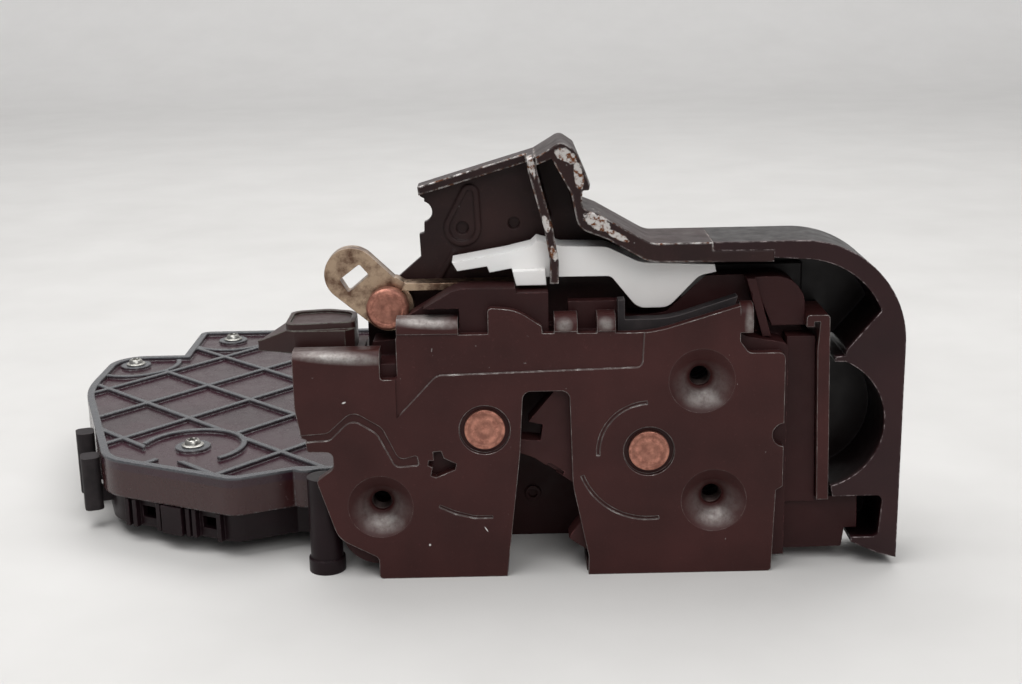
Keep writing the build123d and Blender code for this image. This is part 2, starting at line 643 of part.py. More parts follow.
with BuildPart() as lever_pin:
    turned(lever_x, lever_z, [
        (0, 8.2), (4.6, 8.2), (lever_head_r, 8.6), (lever_head_r, lever_front - 0.2),
        (lever_pin_r, lever_front - 0.2), (lever_pin_r, lever_back + 0.2), (lever_head_r, lever_back + 0.2),
        (lever_head_r, frame_back), (3.0, frame_back), (3.0, frame_back + web_t),
        (lever_head_r - 0.8, frame_back + web_t), (lever_head_r - 0.8, frame_back + web_t + 1.2),
        (0, frame_back + web_t + 1.2),
    ])
write("lever_pin", lever_pin)

# ------------------------------------------------------------ white lock lever
lock_outline = [
    (-21.1, 75.7), (-19.9, 73.6), (-12.9, 74.6), (-12.4, 73.1), (-7.2, 74.0), (-6.4, 70.4), (0.6, 70.4),
    (0.6, 71.8), (16.0, 71.7, 2), (22.2, 63.9, 4), (29.4, 63.9, 4), (36.6, 71.4, 4), (40.6, 72.2),
    (40.2, 74.0), (22.8, 74.8, 8), (15.0, 78.7, 5), (4.4, 79.0), (-1.2, 80.5), (-2.6, 79.2), (-8.6, 77.8),
]
with BuildPart() as lock_lever:
    slab(lock_outline, lock_front, lock_back)
    # hollowed rear with a lengthwise rib left standing
    for pocket in [
        [(1.5, 73.2), (15.6, 73.2), (18.4, 71.2), (19.6, 73.6), (14.4, 77.0), (8.8, 77.2), (1.5, 77.4)],
        [(-12.0, 74.8), (-6.0, 75.6), (-2.4, 75.2), (-2.4, 76.8), (-7.6, 77.2), (-11.6, 76.0)],
    ]:
        slab(pocket, lock_front + 1.6, lock_back + 1, mode=Mode.SUBTRACT)
    # stepped finger on the front face, and the blind bore for its pin
    slab([(-7.0, 73.7), (0.6, 73.9), (0.8, 70.4), (-6.2, 70.4)], lock_front - 2.4, lock_front)
    rod(lock_x, lock_z, lock_pin_r + run_fit, lock_front + lock_skin, frame_back, mode=Mode.SUBTRACT)
write("lock_lever", lock_lever)

with BuildPart() as lock_pin:
    rod(lock_x, lock_z, lock_pin_r, lock_front + lock_skin + slip, frame_back)
write("lock_pin", lock_pin)

# --------------------------------------------------------------------- key cup
cup_step = cup_high - 1.6
cup_cap = [(-61.2, 7.6, 3), (-44.6, 9.4, 1.5), (-44.6, 20.2, 5), (-52.0, 23.2, 5), (-61.2, 21.6, 4)]
with BuildPart() as key_cup:
    # teardrop body with its crank lug pointing left, and a cap over it
    layer([(-68.4, 11.2, 0.6), (-58.8, 7.6), (-46.8, 7.5), (-44.7, 9.6), (-44.7, 19.4, 3), (-48.0, 22.8, 3),
           (-59.0, 22.8, 4)], cup_low, cup_step)
    layer(cup_cap, cup_step, cup_high)
    # the lug slopes down to its point
    with BuildSketch(Plane.XZ.offset(-frame_back - 8)) as slope:
        with BuildLine():
            Polyline((-70.0, cup_low + 2.2), (-67.0, cup_low + 2.6), (-60.9, cup_step), (-60.9, cup_high + 1),
                     (-70.0, cup_high + 1), close=True)
        make_face()
    extrude(slope.sketch, amount=frame_back + 8, mode=Mode.SUBTRACT)
    # shallow tray in the cap, inside a low rim
    layer(cup_cap, cup_high - 0.7, cup_high + 1, mode=Mode.SUBTRACT, inset=1.2)
    stud(cup_x, cup_y, cup_spigot_r + run_fit, cup_low - 1, cup_high - 3.0, mode=Mode.SUBTRACT)
write("key_cup", key_cup)

# ------------------------------------------------------------ security bracket
web_outline = [
    (-28.9, 92.6), (-1.4, 100.6), (-1.0, 97.2), (2.4, 84.3), (3.7, 76.3), (3.7, 76.0), (24.0, 76.0),
    (24.0, 58.2), (-24.0, 58.2), (-42.2, 60.4), (-42.6, 66.0), (-36.1, 67.6), (-35.0, 69.8),
    (-28.8, 75.1), (-29.0, 80.6), (-27.8, 81.0), (-27.6, 89.2), (-28.6, 89.8),
]
foot_outline = [(-42.2, 60.4), (-42.2, 51.6), (-24.6, 51.6), (-23.4, 58.2), (-28.0, 61.0)]
with BuildPart() as security_bracket:
    slab(web_outline, frame_back, frame_back + web_t)
    slab(foot_outline, frame_back, frame_back + web_t)
    # right-hand flange, narrowed to a front tongue low down
    slab([(-3.4, 100.02), (-1.4, 100.6), (-1.0, 97.2), (2.4, 84.3), (0.4, 84.1), (-3.0, 97.0)],
         4.0, frame_back)
    slab([(0.4, 84.1), (2.4, 84.3), (3.7, 76.3), (3.6, 71.0), (1.6, 71.0), (1.7, 76.3)], 4.0, 7.0)
    # short top flange
    slab([(-28.9, 92.6), (-2.4, 100.31), (-2.4, 98.2), (-28.7, 90.6)], 14.0, frame_back)
    # notch in the left edge and the release lever's pin hole, then two centre-punched pits
    for x, z, r in [(-28.4, 86.0, 2.6), (lever_x, lever_z, 3.0)]:
        rod(x, z, r, frame_back - 1, frame_back + web_t + 1, mode=Mode.SUBTRACT)
    for x, z, r in [(-18.7, 82.0, 1.5), (-6.4, 82.9, 1.4)]:
        rod(x, z, r, frame_back - 1, frame_back + 1.2, mode=Mode.SUBTRACT)
    # raised keyhole bead and crease on the front face
    link([(-18.7, 82.0, 4.4), (-16.8, 90.2, 2.2)], frame_back - 0.6, frame_back, rim=1.3)
    slab([(-26.1, 68.4), (-25.0, 67.8), (-20.2, 76.2), (-21.2, 76.8)], frame_back - 0.5, frame_back)
    for x, z in bracket_screws_at:
        rod(x, z, screw_bore_r + 0.7, frame_back - 1, frame_back + web_t + 1, mode=Mode.SUBTRACT,
            sides=shank_sides)
write("security_bracket", security_bracket)

corner_x, corner_z = 59.2, 55.4
corner_outer_r, corner_inner_r = 25.0, 20.7
shield_right, shield_top = corner_x + corner_outer_r, corner_z + corner_outer_r
strap_outline = [
    (-1.4, 100.6), (4.6, 104.2, 2), (7.8, 101.9, 1), (10.9, 94.4, 1), (10.7, 93.0, 0.4), (9.2, 92.9, 0.4),
    (9.0, 88.9, 2), (12.8, 87.4, 3), (24.8, shield_top, 6), (39.0, shield_top), (39.0, 78.4), (53.0, 78.3), (53.0, 75.6),
    (24.4, 76.0, 8), (14.8, 81.6, 4), (8.2, 84.2, 4), (6.6, 92.3, 4), (2.3, 100.3), (-1.2, 98.9),
]
strap_web = [
    (3.7, 76.3), (2.4, 84.3), (-1.0, 97.2), (-1.2, 98.9), (2.4, 101.0), (8.2, 92.0), (8.4, 86.0),
    (14.8, 82.6), (25.4, 77.0), (25.4, 76.3),
]
strap_front, strap_back = 2.0, 20.4
with BuildPart() as guard_strap:
    slab(strap_outline, strap_front, strap_back)
    slab(strap_web, frame_back, frame_back + web_t)
    for depth in (6.6, 15.8):
        with BuildSketch(Plane.XY.offset(70)) as tap:
            with Locations((46.0, depth)):
                Circle(1.6)
        extrude(tap.sketch, amount=12, mode=Mode.SUBTRACT)
write("guard_strap", guard_strap)

shield_outline = [
    (39.0, 78.4), (39.0, shield_top), (shield_right, shield_top, corner_outer_r), (shield_right, 2.0),
    (79.7, 3.2), (73.2, 6.2), (73.2, 7.4), (79.6, 7.4, 1.5), (80.4, 18.0, 1.5), (68.4, 18.0), (67.9, 20.4),
    (67.9, 52.6), (70.3, 52.8), (70.5, 54.2), (corner_x, corner_z + corner_inner_r), (53.0, 76.6), (53.0, 78.3),
]
shield_front, shield_back = strap_front, strap_back
hollow_floor = 18.4
with BuildPart() as side_shield:
    slab(shield_outline, shield_front, shield_back)
    # upper hollow, concentric with the outer corner, down to the slanting web
    with BuildSketch(upright(hollow_floor)) as hollow:
        with Locations((corner_x, corner_z)):
            Circle(corner_inner_r)
        with BuildLine():
            Polyline((53.0, 90.0), (84.0, 90.0), (84.0, 70.2), (70.5, 54.2), (53.0, 54.2), close=True)
        make_face(mode=Mode.INTERSECT)
    extrude(hollow.sketch, amount=hollow_floor, mode=Mode.SUBTRACT)
    # lower hollow, round
    with BuildSketch(upright(hollow_floor)) as hollow:
        with BuildLine():
            ThreePointArc((67.0, 20.4), (80.0, 36.2), (70.3, 51.4))
            Polyline((70.3, 51.4), (67.0, 51.4), (67.0, 20.4))
        make_face()
    extrude(hollow.sketch, amount=hollow_floor, mode=Mode.SUBTRACT)
    # rear wall carried on behind the frame's raised corner and its lower ledge
    slab([(61.6, 54.2), (71.0, 54.2), (71.0, 60.0), (63.0, 73.4), (63.0, 77.0), (53.1, 77.0), (53.1, 75.5),
          (38.0, 75.5), (38.0, 71.2), (61.6, 71.2)], hollow_floor, shield_back)
    slab([(72.0, 6.8), (81.0, 6.8), (81.0, 18.6), (72.0, 18.6)], hollow_floor, shield_back)
write("side_shield", side_shield)

stiffener_outline = [
    (64.8, 16.8), (67.6, 16.8), (66.6, 62.4, 0.8), (61.2, 62.4, 0.8), (61.2, 59.6), (63.0, 59.6), (63.0, 60.8),
    (64.4, 60.8), (63.9, 54.0),
]
with BuildPart() as stiffener_plate:
    slab(stiffener_outline, 3.2, 17.4)
write("stiffener_plate", stiffener_plate)

# ------------------------------------------------------------ actuator housing
front_wall_x, front_wall_y = -76.8, 11.6
side_wall_x, side_wall_y = -112.9, 29.4
plan = [
    (-62.0, frame_back), (front_wall_x, front_wall_y, 6), (side_wall_x, side_wall_y, 14), (-133.8, 91.0, 60),
    (-133.6, 127.9, 10), (-112.0, 127.9), (-112.0, 157.6, 3), (-20.0, 157.6, 8), (4.0, 138.0, 8),
    (10.0, 62.0, 10), (2.0, 36.0, 6), (-18.0, 33.0), (-18.0, frame_back),
]
front_wall_heading = math.degrees(math.atan2(side_wall_y - front_wall_y, side_wall_x - front_wall_x))
side_wall_heading = 108.7
# cover screws (X, Y), each with the first angle and the span of the rib curved round it
cover_bosses = [
    (-91.7, 39.1, -50, 220), (-125.6, 119.6, -150, 170), (-30.0, 40.0, 0, 180), (-100.0, 148.0, 200, 160),
    (-26.0, 146.0, 180, 160), (0.0, 66.0, 90, 180),
]
cover_screws_at = [(x, y) for x, y, first, span in cover_bosses]
pad_r = 12.6
rib_t = 1.4
skirt_t = 1.8
base_inset = skirt_t + 0.2
lobe_x, lobe_y, lobe_pad_r = -59.2, 22.2, 5.4
with BuildPart() as housing_cover:
    layer(plan, skirt_low, rim_top)
    stud(lobe_x, lobe_y, lobe_pad_r, skirt_low, rim_top)
    layer(plan, skirt_low - 1, cover_under, mode=Mode.SUBTRACT, inset=skirt_t)
    layer(plan, panel_top, rim_top + 1, mode=Mode.SUBTRACT, inset=2.0)
    block(-74.2, -43.8, 154.0, 160.0, skirt_low - 1, 18.8, mode=Mode.SUBTRACT)
    # lattice of low ribs, clipped to the panel and interrupted round the screws
    with BuildSketch(Plane.XY.offset(panel_top)) as lattice:
        with Locations(*[(-98.3 + 15.0 * k, 94.7 - 15.2 * k) for k in range(-4, 9)]):
            Rectangle(320, rib_t, rotation=49.2)
        with Locations(*[(-98.3 - 14.0 * k, 94.7 - 16.8 * k) for k in range(-7, 6)]):
            Rectangle(320, rib_t, rotation=-45.4)
        with BuildLine():
            outline(plan)
        make_face(mode=Mode.INTERSECT)
        with Locations(*cover_screws_at):
            Circle(pad_r, mode=Mode.SUBTRACT)
    extrude(lattice.sketch, amount=rim_top - 0.2 - panel_top)
    # ribs curved round the screws
    with BuildSketch(Plane.XY.offset(panel_top)) as curved:
        for x, y, first, span in cover_bosses:
            with BuildLine():
                band(x, y, pad_r, rib_t, first, span)
            make_face()
        with BuildLine():
            outline(plan)
        make_face(mode=Mode.INTERSECT)
    extrude(curved.sketch, amount=rim_top - 0.2 - panel_top)
    for x, y in cover_screws_at:
        stud(x, y, 4.6, panel_top, rim_top - 0.4)
        stud(x, y, screw_bore_r + 0.6, skirt_low, rim_top + 1, mode=Mode.SUBTRACT, sides=shank_sides)
write("housing_cover", housing_cover)


def on_wall(x, y, heading, along, out):
    """Place beside a straight outer wall, turned to it: distance along it and out from it."""
    return Location((*polar(*polar(x, y, along, heading), out, heading + 90), 0), (0, 0, heading))


# rubber buffers on the side wall: distance along it, foot and top heights
buffers = [(10.6, 5.2, 19.6), (28.0, 4.0, 21.0)]
buffer_t, buffer_width = 4.8, 5.6
lug_low, lug_t = 7.0, 4.0
post_x, post_y, post_r = -53.7, 6.9, 3.95
with BuildPart() as housing_base:
    layer(plan, base_low, cover_under, inset=base_inset)
    layer(plan, base_low + wall, cover_under + 1, mode=Mode.SUBTRACT, inset=base_inset + wall)
    # screw towers and standing feet
    for x, y in cover_screws_at:
        stud(x, y, 3.3, base_low, cover_under, sides=tower_sides)
        stud(x, y, screw_bore_r, base_low + 3, cover_under + 1, mode=Mode.SUBTRACT, sides=shank_sides)
    for x, y in [(-104.0, 140.0), (-30.0, 140.0), (-118.0, 80.0), (-4.0, 90.0)]:
        stud(x, y, 4.0, 0, base_low + 1, sides=tower_sides)
    # post with its foot, tied back to the front wall
    stud(post_x, post_y, post_r, 0, 24.0)
    stud(post_x, post_y, post_r + 0.5, 0, 3.4)
    block(post_x - 1.4, post_x + 1.4, post_y + 2, 22.6, skirt_low - 3.5, skirt_low - 0.3)
    # walls round the motor and the gear, and the wheel's axle
    for y in (motor_y0 + 3, motor_y1 - 5):
        block(worm_x - 8.5, worm_x + 8.5, y, y + 1.6, base_low + wall, gear_z)
    rod(worm_x, gear_z, motor_r + 0.1, motor_y0 - 1, motor_y1 + 1, mode=Mode.SUBTRACT)
    block(worm_x - 3, worm_x + 3, worm_y0 - 4.6, worm_y0 - 2.6, base_low + wall, gear_z + 1.6)
    rod(worm_x, gear_z, shaft_r + run_fit, worm_y0 - 6, worm_y0 - 1, mode=Mode.SUBTRACT)
    stud(wheel_x, wheel_y, 3.6, base_low + wall, gear_low - 0.2, sides=tower_sides)
    stud(wheel_x, wheel_y, axle_r, base_low + wall, slider_low - 0.3)
    # guides for the slider, fore and aft of the wheel
    for y in (46.0, 92.0):
        block(slider_x - slider_half, slider_x + slider_half, y, y + 6.0, base_low + wall, slider_low)
        for side in (-1, 1):
            edge = slider_x + side * (slider_half + 0.9)
            block(edge - 0.7, edge + 0.7, y, y + 6.0, base_low + wall, slider_low + slider_t + 0.8)
    # lugs and spigots locating the housing on the latch frame
    for x in spigots_x:
        block(x - 4.0, x + 4.0, frame_back, frame_back + 3.6, base_low, skirt_low - 0.4)
        rod(x, spigot_z, spigot_r, frame_back - 2.6, frame_back + 1, sides=tower_sides)
    # connector shroud on the rear wall
    block(-74.0, -44.0, 150.0, 158.4, base_low, 18.6)
    block(-72.2, -45.8, 146.0, 160.0, base_low + wall, 16.8, mode=Mode.SUBTRACT)
    # lugs that carry the rubber buffers
    for along, foot, top in buffers:
        with BuildSketch(Plane.XY.offset(lug_low)) as lug:
            with Locations(on_wall(side_wall_x, side_wall_y, side_wall_heading, along, 0.8)):
                Rectangle(2.4, 7.2)
        extrude(lug.sketch, amount=lug_t)
    # snap windows, ribs and a latch box along the front wall
    with BuildSketch(Plane.XY.offset(base_low + 2.4)) as windows:
        for along in (9.0, 28.0):
            with Locations(on_wall(front_wall_x, front_wall_y, front_wall_heading, along, -2.0)):
                Rectangle(4.4, 6.0)
    extrude(windows.sketch, amount=skirt_low - base_low - 4.6, mode=Mode.SUBTRACT)
    with BuildSketch(Plane.XY.offset(base_low)) as ribs:
        for along in (5.2, 12.8, 14.8, 24.0, 31.6, 34.0):
            with Locations(on_wall(front_wall_x, front_wall_y, front_wall_heading, along, -1.3)):
                Rectangle(1.2, 2.0)
        with Locations(on_wall(front_wall_x, front_wall_y, front_wall_heading, 19.4, -1.0)):
            Rectangle(6.2, 2.6)
    extrude(ribs.sketch, amount=skirt_low - 0.3 - base_low)
write("housing_base", housing_base)

with BuildPart() as cover_screws:
    for x, y in cover_screws_at:
        spun(x, y, [
            (0, rim_top - 0.4), (screw_head_r, rim_top - 0.4), (screw_head_r, rim_top + 0.6),
            (screw_head_r - 0.9, rim_top + 1.5), (0, rim_top + 1.5),
        ])
        stud(x, y, screw_shank_r, base_low + 4, rim_top, sides=shank_sides)
        with BuildSketch(Plane.XY.offset(rim_top + 0.5)) as drive:
            with Locations((x, y)):
                RegularPolygon(1.25, 6)
        extrude(drive.sketch, amount=2, mode=Mode.SUBTRACT)
write("cover_screws", cover_screws)

with BuildPart() as rubber_buffers:
    for along, foot, top in buffers:
        with BuildSketch(Plane.XY.offset(foot)) as pad:
            with Locations(on_wall(side_wall_x, side_wall_y, side_wall_heading, along, 0.3 + buffer_t / 2)):
                RectangleRounded(buffer_width, buffer_t, 1.6)
        extrude(pad.sketch, amount=top - foot)
    add(housing_base.part, mode=Mode.SUBTRACT)
write("rubber_buffers", rubber_buffers)

# ---------------------------------------------------------------- drive train
with BuildPart() as motor:
    rod(worm_x, gear_z, motor_r, motor_y0, motor_y1)
    block(worm_x - motor_r - 1, worm_x + motor_r + 1, motor_y0 - 1, motor_y1 + 1, gear_z + 5.0, 20.0,
          mode=Mode.SUBTRACT)
    block(worm_x - motor_r - 1, worm_x + motor_r + 1, motor_y0 - 1, motor_y1 + 1, 0, gear_z - 4.2,
          mode=Mode.SUBTRACT)
    rod(worm_x, gear_z, 2.6, motor_y0 - 1.4, motor_y0)
    rod(worm_x, gear_z, 2.6, motor_y1, motor_y1 + 1.4)
    rod(worm_x, gear_z, shaft_r + run_fit, motor_y0 - 2, motor_y1 + 2, mode=Mode.SUBTRACT)
write("motor", motor)

worm_turns = 5
worm_path_y0 = wheel_y - (worm_turns // 2 + 0.75) * worm_pitch
with BuildPart() as worm:
    rod(worm_x, gear_z, shaft_r, worm_y0 - 4.8, motor_y1 + 2.4)
    rod(worm_x, gear_z, worm_root_r, worm_y0, worm_y1)
    with BuildLine() as lead:
        Helix(
            pitch=worm_pitch, height=worm_pitch * worm_turns, radius=worm_root_r,
            center=(worm_x, worm_path_y0, gear_z), direction=(0, 1, 0),
        )
    outward = (lead.line @ 0) - Vector(worm_x, worm_path_y0, gear_z)
    with BuildSketch(Plane(origin=lead.line @ 0, x_dir=outward, z_dir=lead.line % 0)) as thread:
        with BuildLine():
            Polyline((-0.3, -0.85), (worm_tip_r - worm_root_r, 0), (-0.3, 0.85), close=True)
        make_face()
    sweep(thread.sketch, path=lead.line, is_frenet=True)
write("worm", worm)

wheel_tip_r = wheel_pitch_r + 0.7
wheel_root_r = wheel_pitch_r - 0.95
with BuildPart() as worm_wheel:
    stud(wheel_x, wheel_y, wheel_root_r, gear_low, gear_low + gear_t)
    for k in range(wheel_teeth):
        heading = math.radians(180 + k * 360 / wheel_teeth)
        flank = [(wheel_root_r - 0.3, -0.62), (wheel_tip_r, -0.22), (wheel_tip_r, 0.22),
                 (wheel_root_r - 0.3, 0.62)]
        layer([
            (wheel_x + r * math.cos(heading) - t * math.sin(heading),
             wheel_y + r * math.sin(heading) + t * math.cos(heading)) for r, t in flank
        ], gear_low, gear_low + gear_t)
    # dished web, hub, crank pin that drives the slider, and the bore
    with BuildSketch(Plane.XY.offset(gear_low + gear_t - 1.0)) as dish:
        with Locations((wheel_x, wheel_y)):
            Circle(wheel_root_r - 1.2)
            Circle(axle_r + 1.8, mode=Mode.SUBTRACT)
    extrude(dish.sketch, amount=2, mode=Mode.SUBTRACT)
    stud(wheel_x + crank_x, wheel_y - crank_y, crank_pin_r, gear_low + 1, slider_low + slider_t - 0.2)
    stud(wheel_x, wheel_y, axle_r + run_fit, gear_low - 1, slider_low, mode=Mode.SUBTRACT)
write("worm_wheel", worm_wheel)

with BuildPart() as lock_slider:
    block(slider_x - slider_half, slider_x + slider_half, slider_y0, slider_y1, slider_low,
          slider_low + slider_t)
    slot_half = crank_pin_r + 0.15
    block(wheel_x + crank_x - slot_half, wheel_x + crank_r + slot_half, wheel_y - crank_y - slot_half,
          wheel_y - crank_y + slot_half, slider_low - 1, slider_low + slider_t + 1, mode=Mode.SUBTRACT)
    for y in (54.0, 84.0):
        block(slider_x - 3.6, slider_x + 3.6, y, y + 6.0, slider_low - 1, slider_low + slider_t + 1,
              mode=Mode.SUBTRACT)
    # push rod head at the front and switch cam at the side
    block(slider_x - 2.0, slider_x + 2.0, slider_y0 - 10.0, slider_y0, slider_low, slider_low + slider_t)
    block(slider_x - 3.6, slider_x + 3.6, slider_y0 - 12.0, slider_y0 - 9.6, slider_low, cover_under - 1.0)
write("lock_slider", lock_slider)

# ---------------------------------------------------------- switches and wiring
switch_low = base_low + wall
with BuildPart() as switches:
    for x, y in [(-58.0, 92.0), (-58.0, 74.0)]:
        block(x, x + 7.0, y, y + 12.8, switch_low, switch_low + 6.0)
        block(x + 0.8, x + 2.2, y + 3.0, y + 5.0, switch_low + 6.0, switch_low + 6.9)
        block(x + 7.0, x + 7.6, y + 1.0, y + 11.8, switch_low + 1.4, switch_low + 4.6)
write("switches", switches)

pins_x = [-68.0, -64.0, -60.0, -56.0, -52.0]
with BuildPart() as terminal_pins:
    for x in pins_x:
        block(x - 0.4, x + 0.4, 136.0, 155.4, 10.6, 11.4)
        block(x - 0.4, x + 0.4, 136.0, 136.8, switch_low + 1.2, 11.4)
write("terminal_pins", terminal_pins)

with BuildPart() as conductor_plate:
    block(-72.0, -46.0, 110.0, 139.0, switch_low, switch_low + 1.2)
    block(-70.0, -50.0, 128.0, 131.0, switch_low + 1.2, switch_low + 3.0)
    for x, y in [(-66.0, 116.0), (-52.0, 116.0)]:
        stud(x, y, 2.4, switch_low + 1.2, switch_low + 5.0, sides=tower_sides)
write("conductor_plate", conductor_plate)

# --------------------------------------------- inside (cable) lever at the rear
with BuildPart() as inside_lever:
    inside_back = inside_front + inside_t
    slab([
        (44.4, 50.4), (31.6, 60.0), (30.2, 63.6), (33.6, 65.4), (38.2, 61.6), (50.0, 54.4), (55.4, 50.0),
        (64.2, 33.0), (64.4, 28.4), (60.4, 27.0), (57.0, 29.4), (46.0, 44.6),
    ], inside_front, inside_back)
    rod(inside_x, inside_z, 5.8, inside_front, inside_back)
    rod(inside_x, inside_z, inside_pin_r + run_fit, 0, 30, mode=Mode.SUBTRACT)
    slab([(58.8, 31.0), (61.0, 29.4), (62.2, 31.0), (60.0, 34.4), (58.2, 33.6)], 0, 30, mode=Mode.SUBTRACT)
    slab([(31.6, 60.0), (30.2, 63.6), (32.0, 64.5), (33.8, 59.0)], inside_back, inside_back + 4.0)
write("inside_lever", inside_lever)
with BuildPart() as inside_pin:
    turned(inside_x, inside_z, [
        (0, floor_back + 2.4), (inside_pin_r, floor_back + 2.4), (inside_pin_r, inside_back + 0.2),
        (4.4, inside_back + 0.2), (4.4, inside_back + 1.0), (3.8, inside_back + 1.6), (0, inside_back + 1.6),
    ])
write("inside_pin", inside_pin)

with BuildPart() as bracket_screws:
    for x, z in bracket_screws_at:
        rod(x, z, screw_shank_r, floor_back + 2.6, frame_back + web_t + 1, sides=shank_sides)
        rod(x, z, screw_head_r, frame_back + web_t, frame_back + web_t + 2.0)
        with BuildSketch(upright(frame_back + web_t + 2.4)) as drive:
            with Locations((x, z)):
                RegularPolygon(1.3, 6)
        extrude(drive.sketch, amount=1.6, mode=Mode.SUBTRACT)
write("bracket_screws", bracket_screws)
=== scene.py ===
"""Looks for the side door latch with its lock actuator: materials, small fittings, light, camera.

Places are in the row frame, X to the photo's right, Y away from the viewer and Z up. Lengths are
in mm, apart from the stage and the lights, which are in metres.
"""

import json
import math

import bmesh
import bpy
from mathutils import Matrix, Vector


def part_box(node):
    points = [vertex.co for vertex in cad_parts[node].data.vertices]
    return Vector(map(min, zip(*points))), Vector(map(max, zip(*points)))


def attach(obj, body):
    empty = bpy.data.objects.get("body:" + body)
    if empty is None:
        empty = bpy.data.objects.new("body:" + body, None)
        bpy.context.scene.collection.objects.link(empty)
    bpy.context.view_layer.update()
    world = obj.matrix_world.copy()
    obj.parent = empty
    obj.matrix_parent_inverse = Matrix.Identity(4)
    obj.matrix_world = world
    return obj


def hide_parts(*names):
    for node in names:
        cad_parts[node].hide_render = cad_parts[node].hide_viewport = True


MM = 0.001

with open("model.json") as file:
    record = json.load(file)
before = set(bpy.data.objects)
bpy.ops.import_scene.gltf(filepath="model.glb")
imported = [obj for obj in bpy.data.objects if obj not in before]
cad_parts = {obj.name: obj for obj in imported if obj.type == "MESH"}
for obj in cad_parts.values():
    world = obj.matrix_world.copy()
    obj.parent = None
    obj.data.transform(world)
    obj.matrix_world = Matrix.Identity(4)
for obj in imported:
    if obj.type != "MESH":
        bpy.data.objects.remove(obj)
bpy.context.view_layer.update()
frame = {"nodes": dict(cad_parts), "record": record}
nodes = frame["nodes"]
# X and Z of the three threaded fixing holes in the face plate
fixings = [
    (mount["pos_m"][0] / MM, mount["pos_m"][2] / MM)
    for mount in frame["record"]["mounts"] if mount["name"].startswith("fixing")
]


def add_object(name, data):
    """Object for the data, in the scene's own collection."""
    made = bpy.data.objects.new(name, data)
    bpy.context.scene.collection.objects.link(made)
    return made


# ------------------------------------------------------------------ materials
MIX_FACTOR, MIX_A, MIX_B, MIX_RESULT = 0, 6, 7, 2  # sockets of the Mix node when it mixes colours
ANY_DEPTH = 1e3  # half depth of a spot in metres, so that it runs through everything
BEVEL_SAMPLES = 6
DEPTH_FADE, HEIGHT_FADE, SHADE_FADE = 0.6, 0.4, 1.2  # widths over which masks along Y or Z fade
DIMPLE_SHINE = 2.5  # a painted-highlight spot taller than this lies in a dimple and stops short of its bore
BORE_FADE_Y = (4.2, 3.2)  # where a dimple's painted highlight fades in, coming out of its bore
STRIPPED_TO_Y = 9.0  # stripped patches lie in front of this depth
CLOUDS = ((0.35, 0.0), (0.7, 1.0))  # ramp for soft changes between two tones of one colour


def scaled(colour, gain, lift=0.0):
    """The colour made brighter or darker, and greyer by the lift."""
    return [channel * gain + lift for channel in colour]


